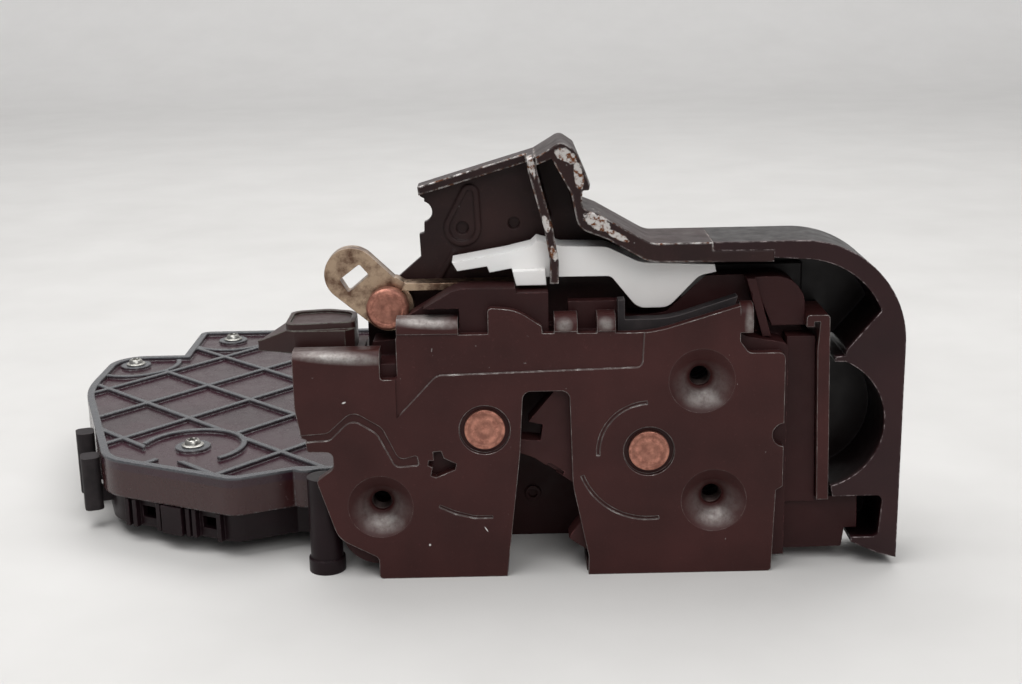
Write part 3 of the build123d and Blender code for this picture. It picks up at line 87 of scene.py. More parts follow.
class Shader:
    """A Principled material built up step by step from object-space coordinates."""

    def __init__(self, name, rough, metallic=0.0, specular=0.5):
        self.material = bpy.data.materials.new(name)
        self.material.use_nodes = True
        self.tree = self.material.node_tree
        self.tree.nodes.clear()
        output = self.add("ShaderNodeOutputMaterial")
        self.surface = self.add("ShaderNodeBsdfPrincipled")
        self.surface.inputs["Roughness"].default_value = rough
        self.surface.inputs["Metallic"].default_value = metallic
        self.surface.inputs["Specular IOR Level"].default_value = specular
        self.link(self.surface.outputs["BSDF"], output.inputs["Surface"])
        self.coords = self.add("ShaderNodeTexCoord").outputs["Object"]
        self.rounded = None

    def add(self, kind, **settings):
        node = self.tree.nodes.new(kind)
        for key, value in settings.items():
            setattr(node, key, value)
        return node

    def link(self, source, target):
        self.tree.links.new(source, target)

    def noise(self, per_mm, detail=4.0, rough=0.55, stretch=(1, 1, 1)):
        """Noise whose features are about 1 / per_mm millimetres across."""
        place = self.add("ShaderNodeMapping")
        place.inputs["Scale"].default_value = [s * per_mm / MM for s in stretch]
        self.link(self.coords, place.inputs[0])
        cloud = self.add("ShaderNodeTexNoise")
        cloud.inputs["Scale"].default_value = 1.0
        cloud.inputs["Detail"].default_value = detail
        cloud.inputs["Roughness"].default_value = rough
        self.link(place.outputs[0], cloud.inputs["Vector"])
        return cloud.outputs["Fac"]

    def ramp(self, source, *stops):
        """Grey ramp between two stops, each a (position, grey level)."""
        ramp = self.add("ShaderNodeValToRGB")
        for point, (position, level) in zip(ramp.color_ramp.elements, stops):
            point.position = position
            point.color = (level, level, level, 1.0)
        self.link(source, ramp.inputs[0])
        return ramp.outputs[0]

    def mix(self, factor, a, b):
        """Colour between a and b, each of them a socket or an RGB colour."""
        mixer = self.add("ShaderNodeMix", data_type="RGBA")
        self.link(factor, mixer.inputs[MIX_FACTOR])
        for socket, value in ((mixer.inputs[MIX_A], a), (mixer.inputs[MIX_B], b)):
            if isinstance(value, (tuple, list)):
                socket.default_value = (*value, 1.0)
            else:
                self.link(value, socket)
        return mixer.outputs[MIX_RESULT]

    def maths(self, operation, a, b=0.0):
        step = self.add("ShaderNodeMath", operation=operation)
        for socket, value in zip(step.inputs, (a, b)):
            if isinstance(value, (int, float)):
                socket.default_value = value
            else:
                self.link(value, socket)
        return step.outputs[0]

    def times(self, a, b):
        """Product of two masks, or of a mask and a share."""
        return self.maths("MULTIPLY", a, b)

    def spot(self, x, z, half_width, half_height, turn_deg=0.0, fade=0.25):
        """Mask that is 1 inside an ellipse on the X-Z plane and fades out across its border."""
        place = self.add("ShaderNodeMapping", vector_type="TEXTURE")
        place.inputs["Location"].default_value = (x * MM, 0.0, z * MM)
        place.inputs["Rotation"].default_value = (0.0, math.radians(turn_deg), 0.0)
        place.inputs["Scale"].default_value = (half_width * MM, ANY_DEPTH, half_height * MM)
        self.link(self.coords, place.inputs[0])
        length = self.add("ShaderNodeVectorMath", operation="LENGTH")
        self.link(place.outputs[0], length.inputs[0])
        return self.ramp(length.outputs["Value"], (1.0 - fade, 1.0), (1.0, 0.0))

    def along(self, axis, start, end):
        """Mask that rises from 0 to 1 between two places along an axis."""
        split = self.add("ShaderNodeSeparateXYZ")
        self.link(self.coords, split.inputs[0])
        rise = self.add("ShaderNodeMapRange")
        rise.inputs["From Min"].default_value = start * MM
        rise.inputs["From Max"].default_value = end * MM
        self.link(split.outputs[axis], rise.inputs[0])
        return rise.outputs[0]

    def soften(self, radius):
        """Rounds hard edges in the shading and returns a mask that is bright along them."""
        rounding = self.add("ShaderNodeBevel", samples=BEVEL_SAMPLES)
        rounding.inputs["Radius"].default_value = radius * MM
        self.rounded = rounding.outputs[0]
        geometry = self.add("ShaderNodeNewGeometry")
        facing = self.add("ShaderNodeVectorMath", operation="DOT_PRODUCT")
        self.link(self.rounded, facing.inputs[0])
        self.link(geometry.outputs["Normal"], facing.inputs[1])
        return self.maths("SUBTRACT", 1.0, facing.outputs["Value"])

    def bump(self, height, strength, distance):
        """Relief on top of the rounded edges."""
        relief = self.add("ShaderNodeBump")
        relief.inputs["Strength"].default_value = strength
        relief.inputs["Distance"].default_value = distance * MM
        self.link(height, relief.inputs["Height"])
        self.link(self.rounded, relief.inputs["Normal"])
        self.link(relief.outputs[0], self.surface.inputs["Normal"])

    def colour(self, socket):
        self.link(socket, self.surface.inputs["Base Color"])

    def roughness(self, socket):
        self.link(socket, self.surface.inputs["Roughness"])

    def metallic(self, socket):
        self.link(socket, self.surface.inputs["Metallic"])


def coated_steel(name, base, tint, chip, rust=None, chip_width=0.35, chip_cut=0.55, rubbed=0.3,
                 chips_to=None, painted_highlights=(), stripped=(), whole=(), marks=()):
    """Black coated sheet steel, chipped along its edges in front of the depth chips_to.

    Each spot is (x, z, half width, half height, turn in degrees). The coat is kept in the spots
    called whole, gone in patches in the stripped ones and scratched in the marks. A painted-
    highlight spot ends in its strength, and paints the pale steel colour softly over the coat
    where light falls.
    """
    s = Shader(name, rough=0.42, specular=0.2)
    edge_band = s.ramp(s.soften(chip_width), (0.02, 0.0), (0.09, 1.0))
    worn = s.noise(per_mm=0.35, detail=5.0, rough=0.7)
    patches = s.ramp(worn, (chip_cut - 0.07, rubbed), (chip_cut + 0.07, 1.0))
    bare_and_highlit = s.times(edge_band, patches)
    if chips_to:
        bare_and_highlit = s.times(bare_and_highlit, s.along("Y", chips_to, chips_to - DEPTH_FADE))
    for spot in whole:
        bare_and_highlit = s.times(bare_and_highlit, s.maths("SUBTRACT", 1.0, s.spot(*spot)))
    highlight_breakup = s.ramp(s.noise(per_mm=0.5, detail=5.0, rough=0.7), (0.36, 0.45), (0.62, 1.0))
    # painted highlights: each spot lays the pale steel colour over the coat, broken up by noise
    for *spot, strength in painted_highlights:
        shine = s.times(s.spot(*spot, fade=0.75), strength)
        half_height = spot[3]
        if half_height > DIMPLE_SHINE:
            shine = s.times(shine, s.along("Y", *BORE_FADE_Y))
        bare_and_highlit = s.maths("MAXIMUM", bare_and_highlit, s.times(shine, highlight_breakup))
    tear = s.noise(per_mm=0.7, detail=6.0, rough=0.75)
    for spot in stripped:
        raw = s.ramp(s.maths("ADD", s.spot(*spot, fade=0.9), tear), (0.88, 0.0), (0.98, 1.0))
        raw = s.times(raw, s.along("Y", STRIPPED_TO_Y, STRIPPED_TO_Y - DEPTH_FADE))
        bare_and_highlit = s.maths("MAXIMUM", bare_and_highlit, raw)

    body = s.mix(s.ramp(s.noise(per_mm=0.05), *CLOUDS), base, tint)
    dust = s.ramp(s.noise(per_mm=1.2, detail=6.0, rough=0.75), (0.58, 0.0), (0.78, 0.45))
    body = s.mix(dust, body, scaled(tint, 2.4, 0.012))
    dots = s.noise(per_mm=0.9, detail=2.0, rough=0.5, stretch=(1.0, 1.0, 0.6))
    specks = s.ramp(dots, (0.765, 0.0), (0.79, 0.7))
    body = s.mix(specks, body, (0.28, 0.26, 0.25))
    for spot in marks:
        body = s.mix(s.spot(*spot, fade=0.5), body, (0.62, 0.60, 0.58))
    metal = chip
    if rust:
        metal = s.mix(s.ramp(s.noise(per_mm=0.9), (0.48, 0.0), (0.6, 1.0)), chip, rust)
    s.colour(s.mix(bare_and_highlit, body, metal))
    s.roughness(s.ramp(s.noise(per_mm=0.25, detail=5.0), (0.3, 0.34), (0.7, 0.5)))
    s.metallic(s.times(bare_and_highlit, 0.8))
    s.bump(s.noise(per_mm=2.6, detail=3.0), strength=0.12, distance=0.12)
    return s.material


def moulded(name, base, lighter, rough=0.45, edge_colour=None, grain=1.6, specular=0.32, edge_cut=0.55,
            rounding=0.35, crest=None, foot=None, shade_behind=None):
    """Moulded plastic with fine grain, scuffed pale along its edges; on some, a painted highlight
    too.

    Crest and foot are (Z, colour): the colour of what stands above that height or below it.
    On the housing cover they are painted light: a highlight on the rib tops and a reflection on
    the skirt. The edge colour there and on the key cup is a painted highlight over the scuffs.
    The depth pair is (Y, share): behind that depth the colour is painted shade, darkened to
    that share, and the edges there are left unscuffed.
    """
    s = Shader(name, rough, specular=specular)
    edge_band = s.ramp(s.soften(rounding), (0.02, 0.0), (0.1, 1.0))
    worn = s.noise(per_mm=0.8, detail=5.0, rough=0.7)
    edge_mark = s.times(edge_band, s.ramp(worn, (edge_cut - 0.05, 0.0), (edge_cut + 0.13, 1.0)))
    body = s.mix(s.ramp(s.noise(per_mm=0.04, detail=3.0), *CLOUDS), base, lighter)
    specks = s.ramp(s.noise(per_mm=1.1, detail=6.0, rough=0.8), (0.66, 0.0), (0.76, 0.35))
    body = s.mix(specks, body, scaled(lighter, 1.8, 0.01))
    # crest and foot: on the housing cover, a painted highlight on the rib tops and a painted
    # reflection on the skirt
    if crest:
        height, colour = crest
        body = s.mix(s.along("Z", height, height + HEIGHT_FADE), body, colour)
    if foot:
        height, colour = foot
        body = s.mix(s.along("Z", height, height - HEIGHT_FADE), body, colour)
    # painted shade: darker behind the given depth, with no edge scuffs there
    if shade_behind:
        depth, share = shade_behind
        body = s.mix(s.along("Y", depth, depth + SHADE_FADE), body, scaled(base, share))
        edge_mark = s.times(edge_mark, s.along("Y", depth + SHADE_FADE, depth))
    s.colour(s.mix(edge_mark, body, edge_colour or scaled(lighter, 4, 0.03)))
    s.roughness(s.ramp(s.noise(per_mm=0.3), (0.3, rough - 0.07), (0.7, rough + 0.09)))
    s.bump(s.noise(grain, detail=3.0), strength=0.18, distance=0.1)
    return s.material


def bare_metal(name, base, darker, rough=0.35, stretch=(1, 1, 1), stained=0.42):
    """Bare metal with faint working marks and darker stains."""
    s = Shader(name, rough, metallic=1.0)
    s.soften(0.2)
    stains = s.noise(per_mm=0.22, detail=5.0, rough=0.65)
    s.colour(s.mix(s.ramp(stains, (stained, 0.0), (stained + 0.2, 1.0)), base, darker))
    marks = s.noise(per_mm=0.8, rough=0.6, stretch=stretch)
    s.roughness(s.ramp(marks, (0.3, rough - 0.1), (0.7, rough + 0.12)))
    fine_marks = s.noise(per_mm=1.6, detail=3.0, rough=0.6, stretch=stretch)
    s.bump(fine_marks, strength=0.15, distance=0.08)
    return s.material


TURNING_PITCH = 0.7  # spacing of the tool marks on a machined face


def turned_head(name, centre, base, darker, rough=0.4):
    """Machined face with concentric tool marks about a fore-and-aft axis; centre in metres."""
    s = Shader(name, rough, metallic=0.75)
    s.soften(0.25)
    place = s.add("ShaderNodeMapping", vector_type="POINT")
    place.inputs["Location"].default_value = [-c for c in centre]
    place.inputs["Scale"].default_value = (1.0, 0.0, 1.0)
    s.link(s.coords, place.inputs[0])
    length = s.add("ShaderNodeVectorMath", operation="LENGTH")
    s.link(place.outputs[0], length.inputs[0])
    turns = s.times(length.outputs["Value"], 2 * math.pi / (TURNING_PITCH * MM))
    ring_level = s.maths("ADD", s.times(s.maths("SINE", turns), 0.5), 0.5)
    stains = s.ramp(s.noise(per_mm=0.5, detail=5.0, rough=0.7), (0.4, 0.0), (0.6, 1.0))
    worn = s.mix(stains, base, darker)
    s.colour(s.mix(s.times(ring_level, 0.55), worn, scaled(base, 0.45)))
    s.roughness(s.ramp(s.noise(per_mm=0.8), (0.3, rough - 0.06), (0.7, rough + 0.1)))
    s.bump(ring_level, strength=0.35, distance=0.06)
    return s.material


def rubbery(name):
    """Black rubber, paler along its edges."""
    s = Shader(name, rough=0.7, specular=0.3)
    edge = s.ramp(s.soften(0.4), (0.03, 0.0), (0.12, 0.8))
    clouds = s.ramp(s.noise(per_mm=0.2), (0.4, 0.0), (0.7, 1.0))
    body = s.mix(clouds, (0.012, 0.009, 0.010), (0.026, 0.020, 0.021))
    s.colour(s.mix(edge, body, (0.10, 0.085, 0.085)))
    s.bump(s.noise(per_mm=1.5), strength=0.25, distance=0.12)
    return s.material


def set_material(node, material):
    mesh = nodes[node].data
    mesh.materials.clear()
    mesh.materials.append(material)


# Spots on the face plate: x, z, half width, half height, turn; a painted-highlight one ends in its
# strength.
# The dimple rims and walls, rolled lips, top lugs and right flange spots are painted highlights,
# pale where light falls on them.
DIMPLE_RIMS = [(x + 0.6, z - 4.4, 5.8, 3.0, 0, 0.62) for x, z in fixings]
DIMPLE_WALLS = [(x + 0.3, z - 1.6, 7.6, 6.2, 0, 0.3) for x, z in fixings]
WHOLE_DIMPLES = [(x, z, 8.9, 8.9, 0) for x, z in fixings]
ROLLED_LIPS = [(-48.4, 55.3, 13.5, 1.7, 5, 0.8), (-27.0, 63.2, 10.0, 1.6, 4, 0.75)]
TOP_LUGS = [(4.7, 62.0, 2.2, 2.0, 0, 0.6), (14.2, 62.0, 2.2, 2.0, 0, 0.6)]
RIGHT_FLANGE = [(47.4, 61.6, 1.3, 4.6, 0, 0.5)]
STEP_LINE = [(-34.8, 45.5, 1.2, 7.5, 0)]
PLATE_SCRATCHES = [
    (-14.5, 12.2, 0.17, 0.9, -32), (-28.1, 8.5, 0.3, 0.35, 0), (6.9, 8.0, 0.2, 0.6, 30),
    (-47.0, 44.5, 0.25, 0.6, 70),
]
# Spots on the security bracket
BENT_ARM_PATCHES = [
    (12.6, 85.6, 5.4, 2.4, 30), (17.0, 82.4, 4.4, 1.3, 30), (5.4, 101.0, 4.6, 2.2, 25),
    (8.4, 96.0, 1.6, 5.0, -8),
]
FRONT_EDGE_PATCHES = [
    (-2.4, 99.0, 1.1, 5.2, -14), (0.9, 85.0, 1.3, 3.2, -14), (2.6, 78.0, 1.2, 3.0, -14),
]
STRAP_SHOULDER = [(47.0, 77.6, 10.5, 3.0, 0)]

# The red-brown cast of the base and tint colours of the black coats and mouldings below is a
# painted reflection of a red surround; the parts themselves are black.
plate_paint = coated_steel(
    "plate_coat", base=(0.033, 0.0095, 0.0088), tint=(0.050, 0.0145, 0.0135),
    chip=(0.42, 0.40, 0.38), marks=PLATE_SCRATCHES, whole=STEP_LINE + WHOLE_DIMPLES,
    painted_highlights=DIMPLE_RIMS + DIMPLE_WALLS + ROLLED_LIPS + TOP_LUGS + RIGHT_FLANGE,
)
bracket_paint = coated_steel(
    "bracket_coat", base=(0.017, 0.008, 0.008), tint=(0.031, 0.013, 0.012),
    chip=(0.62, 0.59, 0.57), rust=(0.16, 0.055, 0.02), chip_width=0.8, chip_cut=0.5, rubbed=0.1,
    chips_to=17.2, stripped=BENT_ARM_PATCHES + FRONT_EDGE_PATCHES, whole=STRAP_SHOULDER,
)
frame_plastic = moulded(
    "frame_moulding", (0.022, 0.006, 0.006), (0.034, 0.009, 0.009), rough=0.5, specular=0.2
)
# Behind 2.6 mm the shield's colour is darkened to 0.22 of itself: painted shade inside its hollows.
shield_plastic = moulded(
    "shield_moulding", (0.017, 0.005, 0.006), (0.027, 0.008, 0.009), rough=0.36, specular=0.25,
    shade_behind=(2.6, 0.22), edge_colour=(0.45, 0.38, 0.38), edge_cut=0.5, rounding=0.5,
)
# Painted light on the cover: the crest colour is a painted highlight on the rib tops, the foot
# colour a painted red reflection on the skirt, and the pale edge colour a painted highlight along
# the rounded rim over its scuffs.
housing_plastic = moulded(
    "cover_moulding", (0.021, 0.0065, 0.0105), (0.035, 0.010, 0.017), rough=0.24, specular=0.5,
    rounding=0.8, edge_colour=(0.13, 0.125, 0.13), edge_cut=0.5, foot=(19.6, (0.034, 0.009, 0.009)),
    crest=(21.2, (0.060, 0.062, 0.069)),
)
base_plastic = moulded(
    "base_moulding", (0.007, 0.003, 0.004), (0.013, 0.005, 0.007), rough=0.4, specular=0.2
)
# The pale grey-green edge colour on the key cup is a painted highlight along its rim, over its
# scuffs.
cup_plastic = moulded(
    "cup_moulding", (0.024, 0.008, 0.0075), (0.038, 0.013, 0.012), rough=0.4,
    edge_colour=(0.15, 0.15, 0.125), edge_cut=0.4, rounding=0.45,
)
catch_plastic = moulded(
    "catch_moulding", (0.034, 0.0105, 0.010), (0.050, 0.015, 0.015), rough=0.5, specular=0.2
)
white_plastic = moulded(
    "white_moulding", (0.84, 0.84, 0.83), (0.76, 0.73, 0.71), rough=0.42,
    edge_colour=(0.5, 0.45, 0.41), grain=0.8,
)
gear_plastic = moulded(
    "gear_moulding", (0.72, 0.70, 0.62), (0.66, 0.63, 0.55), rough=0.45, edge_colour=(0.8, 0.78, 0.7)
)
switch_plastic = moulded("switch_moulding", (0.05, 0.05, 0.055), (0.07, 0.07, 0.075), rough=0.5)
steel = bare_metal("bare_steel", (0.50, 0.48, 0.46), (0.28, 0.24, 0.21), rough=0.38)
spring_wire = bare_metal("spring_wire", (0.34, 0.34, 0.35), (0.2, 0.19, 0.18), rough=0.3)
yellow_zinc = bare_metal(
    "yellow_zinc", (0.46, 0.34, 0.24), (0.14, 0.08, 0.055), rough=0.34, stained=0.4
)
bright_screw = bare_metal("screw_steel", (0.46, 0.45, 0.42), (0.28, 0.27, 0.25), rough=0.36)
dark_steel = bare_metal("dark_steel", (0.085, 0.062, 0.058), (0.05, 0.036, 0.034), rough=0.5)
tin_can = bare_metal(
    "motor_can", (0.60, 0.60, 0.60), (0.42, 0.41, 0.40), rough=0.3, stretch=(1, 0.05, 1)
)
brass = bare_metal("worm_brass", (0.62, 0.46, 0.20), (0.42, 0.30, 0.13), rough=0.3)
rubber = rubbery("black_rubber")
MATERIALS = {
    plate_paint: ["face_plate", "stiffener_plate"],
    bracket_paint: ["security_bracket", "guard_strap"],
    frame_plastic: ["latch_frame"],
    cup_plastic: ["key_cup"],
    shield_plastic: ["side_shield"],
    housing_plastic: ["housing_cover"],
    base_plastic: ["housing_base"],
    catch_plastic: ["claw_cover", "pawl_cover"],
    white_plastic: ["lock_lever"],
    gear_plastic: ["worm_wheel", "lock_slider"],
    switch_plastic: ["switches", "conductor_plate"],
    steel: ["lock_pin", "inside_pin"],
    dark_steel: ["back_plate", "claw_core", "pawl_core"],
    spring_wire: ["claw_spring", "pawl_spring"],
    yellow_zinc: ["outside_lever", "inside_lever"],
    bright_screw: ["cover_screws", "bracket_screws"],
    tin_can: ["motor"],
    brass: ["worm", "terminal_pins"],
    rubber: ["striker_buffer", "frame_seal", "rubber_buffers"],
}
for material, names in MATERIALS.items():
    for name in names:
        set_material(name, material)

PIN_COPPER, PIN_STAIN = (0.56, 0.25, 0.18), (0.27, 0.11, 0.08)
pin_faces = {}
for name in ("claw_pin", "pawl_pin", "lever_pin"):
    low, high = (Vector(corner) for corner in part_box(name))
    pin_faces[name] = turned_head(name + "_face", (low + high) / 2, PIN_COPPER, PIN_STAIN)
    set_material(name, pin_faces[name])


# --------------------------------------------------------------- mesh helpers
SHARP_DEG = 32  # edges that turn by more than this stay sharp
LOBES = 6
RIDGE_HALF = 0.42  # half the foot of a thread crest, as a share of the pitch


def piece(name, build, material, body, replaced=()):
    """Turns a bmesh (in mm) into an object that rides on a body."""
    bmesh.ops.recalc_face_normals(build, faces=build.faces)
    mesh = bpy.data.meshes.new(name)
    build.to_mesh(mesh)
    build.free()
    mesh.transform(Matrix.Scale(MM, 4))
    mesh.materials.append(material)
    for polygon in mesh.polygons:
        polygon.use_smooth = True
    mesh.set_sharp_from_angle(angle=math.radians(SHARP_DEG))
    made = add_object(name, mesh)
    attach(made, body)
    if replaced:
        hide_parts(*replaced)


def lathe(build, centre, axis, profile, steps=48):
    """Closed turned form; profile rows are (radius, height along the axis, six-lobe swell)."""
    turn = Vector((0, 0, 1)).rotation_difference(Vector(axis)).to_matrix()
    rings = []
    for radius, height, *lobe in profile:
        swell = lobe[0] if lobe else 0.0
        ring = []
        for k in range(steps):
            angle = 2 * math.pi * k / steps
            reach = radius + swell * math.cos(LOBES * angle)
            spot = Vector((reach * math.cos(angle), reach * math.sin(angle), height))
            ring.append(build.verts.new(Vector(centre) + turn @ spot))
        rings.append(ring)
    for lower, upper in zip(rings, rings[1:]):
        for k in range(steps):
            after = (k + 1) % steps
            build.faces.new((lower[k], lower[after], upper[after], upper[k]))
    build.faces.new(rings[0])
    build.faces.new(rings[-1])


def helical_ridge(build, x, z, radius, height, y0, y1, pitch, steps=36):
    """Thread crest standing inwards from a fore-and-aft bore."""
    count = int((y1 - y0) / pitch * steps)
    foot = RIDGE_HALF * pitch
    rows = []
    for k in range(count + 1):
        angle = 2 * math.pi * k / steps
        y = y0 + pitch * k / steps
        direction = Vector((math.cos(angle), 0, math.sin(angle)))
        rows.append([
            build.verts.new(Vector((x, y + along, z)) + direction * reach)
            for reach, along in ((radius, -foot), (radius - height, 0.0), (radius, foot))
        ])
    for first, second in zip(rows, rows[1:]):
        for a, b in ((0, 1), (1, 2), (2, 0)):
            build.faces.new((first[a], first[b], second[b], second[a]))
    build.faces.new(rows[0])
    build.faces.new(rows[-1])


# -------------------------------------------------------------- small fittings
FORWARD, REARWARD, UPWARD = (0, -1, 0), (0, 1, 0), (0, 0, 1)
THREAD_R, THREAD_DEPTH, THREAD_Y0, THREAD_Y1, THREAD_PITCH = 2.53, 0.42, 5.2, 9.1, 1.0
WELL_REAR = 17.6  # depth of the plugs' rear faces
PLUG_PROFILE = [
    (0.2, 0.0), (2.9, 0.0), (3.3, 0.15), (3.62, 0.5), (3.62, 1.4), (3.4, 1.7), (2.6, 1.75),
    (2.3, 1.3), (0.2, 1.2),
]
LIP_FRONT, LIP_REAR, LIP_ROUNDING = 16.5, 18.0, 0.3
LIP_OUTLINE = [(39.0, 72.4), (39.0, 69.6), (57.2, 68.6), (58.6, 64.0), (62.4, 62.0), (62.4, 72.4)]
COVER_TOP, COVER_HEAD_R, COVER_HEAD_T = 21.62, 2.9, 1.75
COVER_SCREWS_AT = [
    (-91.7, 39.1), (-125.6, 119.6), (-30.0, 40.0), (-100.0, 148.0), (-26.0, 146.0), (0.0, 66.0)
]
BRACKET_REAR, BRACKET_HEAD_R, BRACKET_HEAD_T = 20.02, 3.3, 1.95
BRACKET_SCREWS_AT = [(-38.4, 54.4), (-28.4, 54.4)]
PIN_STEPS = 64
PIN_R, PIN_FRONT = 4.8, 0.2  # the claw's and the pawl's pin
LEVER_PIN_R, LEVER_PIN_FRONT = 4.6, 8.2
CLAW_AT, PAWL_AT = (24.3, 31.0), (-14.3, 37.1)
# The springs as in the solid: back plate's rear, coil and wire radius, gap, pitch, turns, legs
BACK_REAR, COIL_R, WIRE_R, COIL_GAP = 12.6, 5.7, 0.6, 0.35
COIL_PITCH, COIL_TURNS, LEG = 1.35, 2.5, 6.7
COIL_STEPS = 60
WIRE_SHARE = 0.97  # the round wire's radius over that of the many-sided one


def fixing_threads():
    """M6 thread crests in the plate's three drawn collars."""
    build = bmesh.new()
    for x, z in fixings:
        helical_ridge(build, x, z, THREAD_R, THREAD_DEPTH, THREAD_Y0, THREAD_Y1, THREAD_PITCH)
    piece("fixing_threads", build, dark_steel, "housing")


def well_plugs():
    """Moulded plugs that close the wells behind the three threaded collars."""
    build = bmesh.new()
    for x, z in fixings:
        lathe(build, (x, WELL_REAR, z), FORWARD, PLUG_PROFILE)
    piece("well_plugs", build, rubber, "housing")


def shield_lip():
    """Lip that closes the slit between the guard strap and the frame's raised corner."""
    build = bmesh.new()
    front = [build.verts.new((x, LIP_FRONT, z)) for x, z in LIP_OUTLINE]
    rear = [build.verts.new((x, LIP_REAR, z)) for x, z in LIP_OUTLINE]
    build.faces.new(front)
    build.faces.new(rear[::-1])
    for k in range(len(front)):
        after = (k + 1) % len(front)
        build.faces.new((front[k], rear[k], rear[after], front[after]))
    edges = list(build.edges)
    bmesh.ops.bevel(build, geom=edges, offset=LIP_ROUNDING, segments=2, affect="EDGES")
    piece("shield_lip", build, shield_plastic, "housing")


def screw_heads(name, places, axis, radius, height, replaced):
    """Flanged pan heads with a six-lobe recess, their shanks hidden below."""
    shank = [(1.2, -6.0), (1.2, 0.0)]
    flange = [(radius, 0.0), (radius, 0.35), (radius - 0.35, 0.5), (radius - 0.8, 0.55)]
    crown = [(radius - 0.95, height - 0.45), (radius - 1.25, height - 0.1), (radius - 1.6, height)]
    recess = [
        (1.32, height, 0.16), (1.24, height - 0.12, 0.2), (1.2, height - 1.0, 0.2),
        (0.3, height - 1.25),
    ]
    build = bmesh.new()
    for place in places:
        lathe(build, place, axis, shank + flange + crown + recess)
    piece(name, build, bright_screw, "housing", replaced)


def pin_rings(name, pin, radius, front):
    """Raised rim, groove and centre mark on the face of a riveted pin."""
    low, high = (Vector(corner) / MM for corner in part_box(pin))
    centre = ((low.x + high.x) / 2, front, (low.z + high.z) / 2)
    rim = [(radius, -0.1), (radius, 0.02), (radius - 0.25, 0.14), (radius - 0.9, 0.16)]
    groove = [(radius - 1.05, 0.06), (radius - 1.3, 0.05)]
    field = [(radius - 1.5, 0.12), (1.5, 0.1)]
    mark = [(1.35, 0.03), (1.0, 0.03), (0.8, 0.09), (0.15, 0.04)]
    build = bmesh.new()
    lathe(build, centre, FORWARD, rim + groove + field + mark, PIN_STEPS)
    piece(name, build, pin_faces[pin], "housing")


def wound_spring(name, centre, replaced):
    """Round-wire torsion spring in the place of its faceted solid."""
    x, z = centre
    start = BACK_REAR + WIRE_R + COIL_GAP
    points = [(x - LEG, start, z + COIL_R)]
    for k in range(COIL_STEPS + 1):
        angle = 2 * math.pi * COIL_TURNS * k / COIL_STEPS
        y = start + COIL_PITCH * COIL_TURNS * k / COIL_STEPS
        points.append((x + COIL_R * math.sin(angle), y, z + COIL_R * math.cos(angle)))
    points.append((x - LEG, start + COIL_PITCH * COIL_TURNS, z - COIL_R))
    curve = bpy.data.curves.new(name, "CURVE")
    curve.dimensions = "3D"
    curve.bevel_depth = WIRE_R * WIRE_SHARE * MM
    curve.bevel_resolution = 3
    curve.use_fill_caps = True
    spline = curve.splines.new("POLY")
    spline.points.add(len(points) - 1)
    for point, place in zip(spline.points, points):
        point.co = (*[value * MM for value in place], 1.0)
    curve.materials.append(spring_wire)
    spring = add_object(name, curve)
    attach(spring, "housing")
    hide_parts(replaced)


fixing_threads()
well_plugs()
shield_lip()
screw_heads(
    "cover_screw_heads", [(x, y, COVER_TOP) for x, y in COVER_SCREWS_AT], UPWARD,
    COVER_HEAD_R, COVER_HEAD_T, ["cover_screws"],
)
pin_rings("claw_pin_rings", "claw_pin", PIN_R, PIN_FRONT)
pin_rings("pawl_pin_rings", "pawl_pin", PIN_R, PIN_FRONT)
pin_rings("lever_pin_rings", "lever_pin", LEVER_PIN_R, LEVER_PIN_FRONT)
wound_spring("claw_spring_wire", CLAW_AT, "claw_spring")
wound_spring("pawl_spring_wire", PAWL_AT, "pawl_spring")
screw_heads(
    "bracket_screw_heads", [(x, BRACKET_REAR, z) for x, z in BRACKET_SCREWS_AT], REARWARD,
    BRACKET_HEAD_R, BRACKET_HEAD_T, ["bracket_screws"],
)


# ---------------------------------------------------------------------- stage
FLOOR_HALF, WALL_Y, WALL_TOP, BEND_R = 3.0, 1.6, 2.5, 0.5
BEND_STEPS = 12
GLOW_Y = (450.0, 1900.0)  # in mm; from here on the floor and the wall glow and look evenly pale
GLOW = 0.55


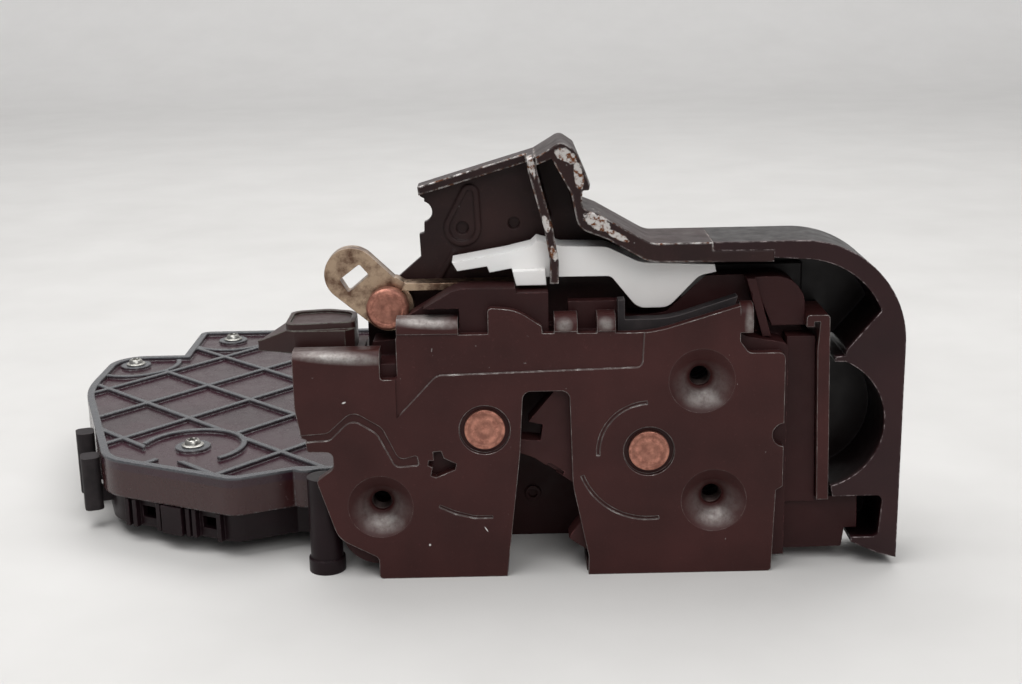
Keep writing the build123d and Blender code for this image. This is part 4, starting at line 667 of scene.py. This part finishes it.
def stage_floor():
    """Paper sweep: a floor that bends up into a rear wall."""
    bend_y = WALL_Y - BEND_R
    profile = [(-FLOOR_HALF, 0.0), (bend_y, 0.0)]
    for t in range(1, BEND_STEPS + 1):
        angle = t * math.pi / (2 * BEND_STEPS)
        profile.append((bend_y + BEND_R * math.sin(angle), BEND_R - BEND_R * math.cos(angle)))
    profile.append((WALL_Y, WALL_TOP))
    build = bmesh.new()
    left, right = (
        [build.verts.new((x, y, z)) for y, z in profile] for x in (-FLOOR_HALF, FLOOR_HALF)
    )
    for i in range(len(profile) - 1):
        build.faces.new((left[i], right[i], right[i + 1], left[i + 1]))
    mesh = bpy.data.meshes.new("floor")
    build.to_mesh(mesh)
    build.free()
    for polygon in mesh.polygons:
        polygon.use_smooth = True
    floor = add_object("floor", mesh)
    s = Shader("floor_paper", rough=0.85, specular=0.15)
    clouds = s.ramp(s.noise(per_mm=0.02, detail=3.0), (0.3, 0.0), (0.7, 1.0))
    s.colour(s.mix(clouds, (0.57, 0.56, 0.545), (0.61, 0.60, 0.585)))
    path = s.add("ShaderNodeLightPath")
    seen = s.maths("MAXIMUM", path.outputs["Is Camera Ray"], path.outputs["Is Glossy Ray"])
    glow = s.times(s.along("Y", *GLOW_Y), GLOW)
    s.surface.inputs["Emission Color"].default_value = (0.95, 0.94, 0.93, 1.0)
    s.link(s.times(seen, glow), s.surface.inputs["Emission Strength"])
    mesh.materials.append(s.material)


def area_light(name, place, target, size, power):
    """Rectangular lamp turned towards its target."""
    lamp = bpy.data.lights.new(name, "AREA")
    lamp.shape = "RECTANGLE"
    lamp.size, lamp.size_y = size
    lamp.energy = power
    light = add_object(name, lamp)
    light.location = place
    direction = Vector(target) - Vector(place)
    light.rotation_euler = direction.to_track_quat("-Z", "Y").to_euler()


def world_light(strength):
    world = bpy.data.worlds.new("studio")
    world.use_nodes = True
    background = world.node_tree.nodes["Background"]
    background.inputs["Color"].default_value = (0.95, 0.95, 0.97, 1.0)
    background.inputs["Strength"].default_value = strength
    bpy.context.scene.world = world


stage_floor()
world_light(0.30)
area_light("key", (-0.30, -0.15, 0.85), target=(-0.02, 0.05, 0.04), size=(0.7, 0.5), power=4.8)
area_light("top", (0.05, 0.45, 0.80), target=(-0.02, 0.06, 0.04), size=(1.1, 0.6), power=6.4)
area_light("front", (0.30, -0.80, 0.72), target=(0.0, 0.02, 0.05), size=(0.8, 0.5), power=4.4)

# --------------------------------------------------------------------- camera
EYE = (-7.7, -334.5, 148.0)
FOCAL_PX, IMAGE_WIDTH_PX = 1500.0, 1022
SENSOR_WIDTH = 36.0
NEAR_CLIP_M = 0.01
TILT, ROLL = math.radians(75.0), math.radians(-1.2)
camera_data = bpy.data.cameras.new("view")
camera_data.sensor_width = SENSOR_WIDTH
camera_data.lens = FOCAL_PX * SENSOR_WIDTH / IMAGE_WIDTH_PX
camera_data.clip_start = NEAR_CLIP_M
camera = add_object("view", camera_data)
camera.matrix_world = (
    Matrix.Translation(Vector(EYE) * MM)
    @ Matrix.Rotation(TILT, 4, "X")
    @ Matrix.Rotation(ROLL, 4, "Z")
)
bpy.context.scene.camera = camera
bpy.context.scene.view_settings.view_transform = "Standard"
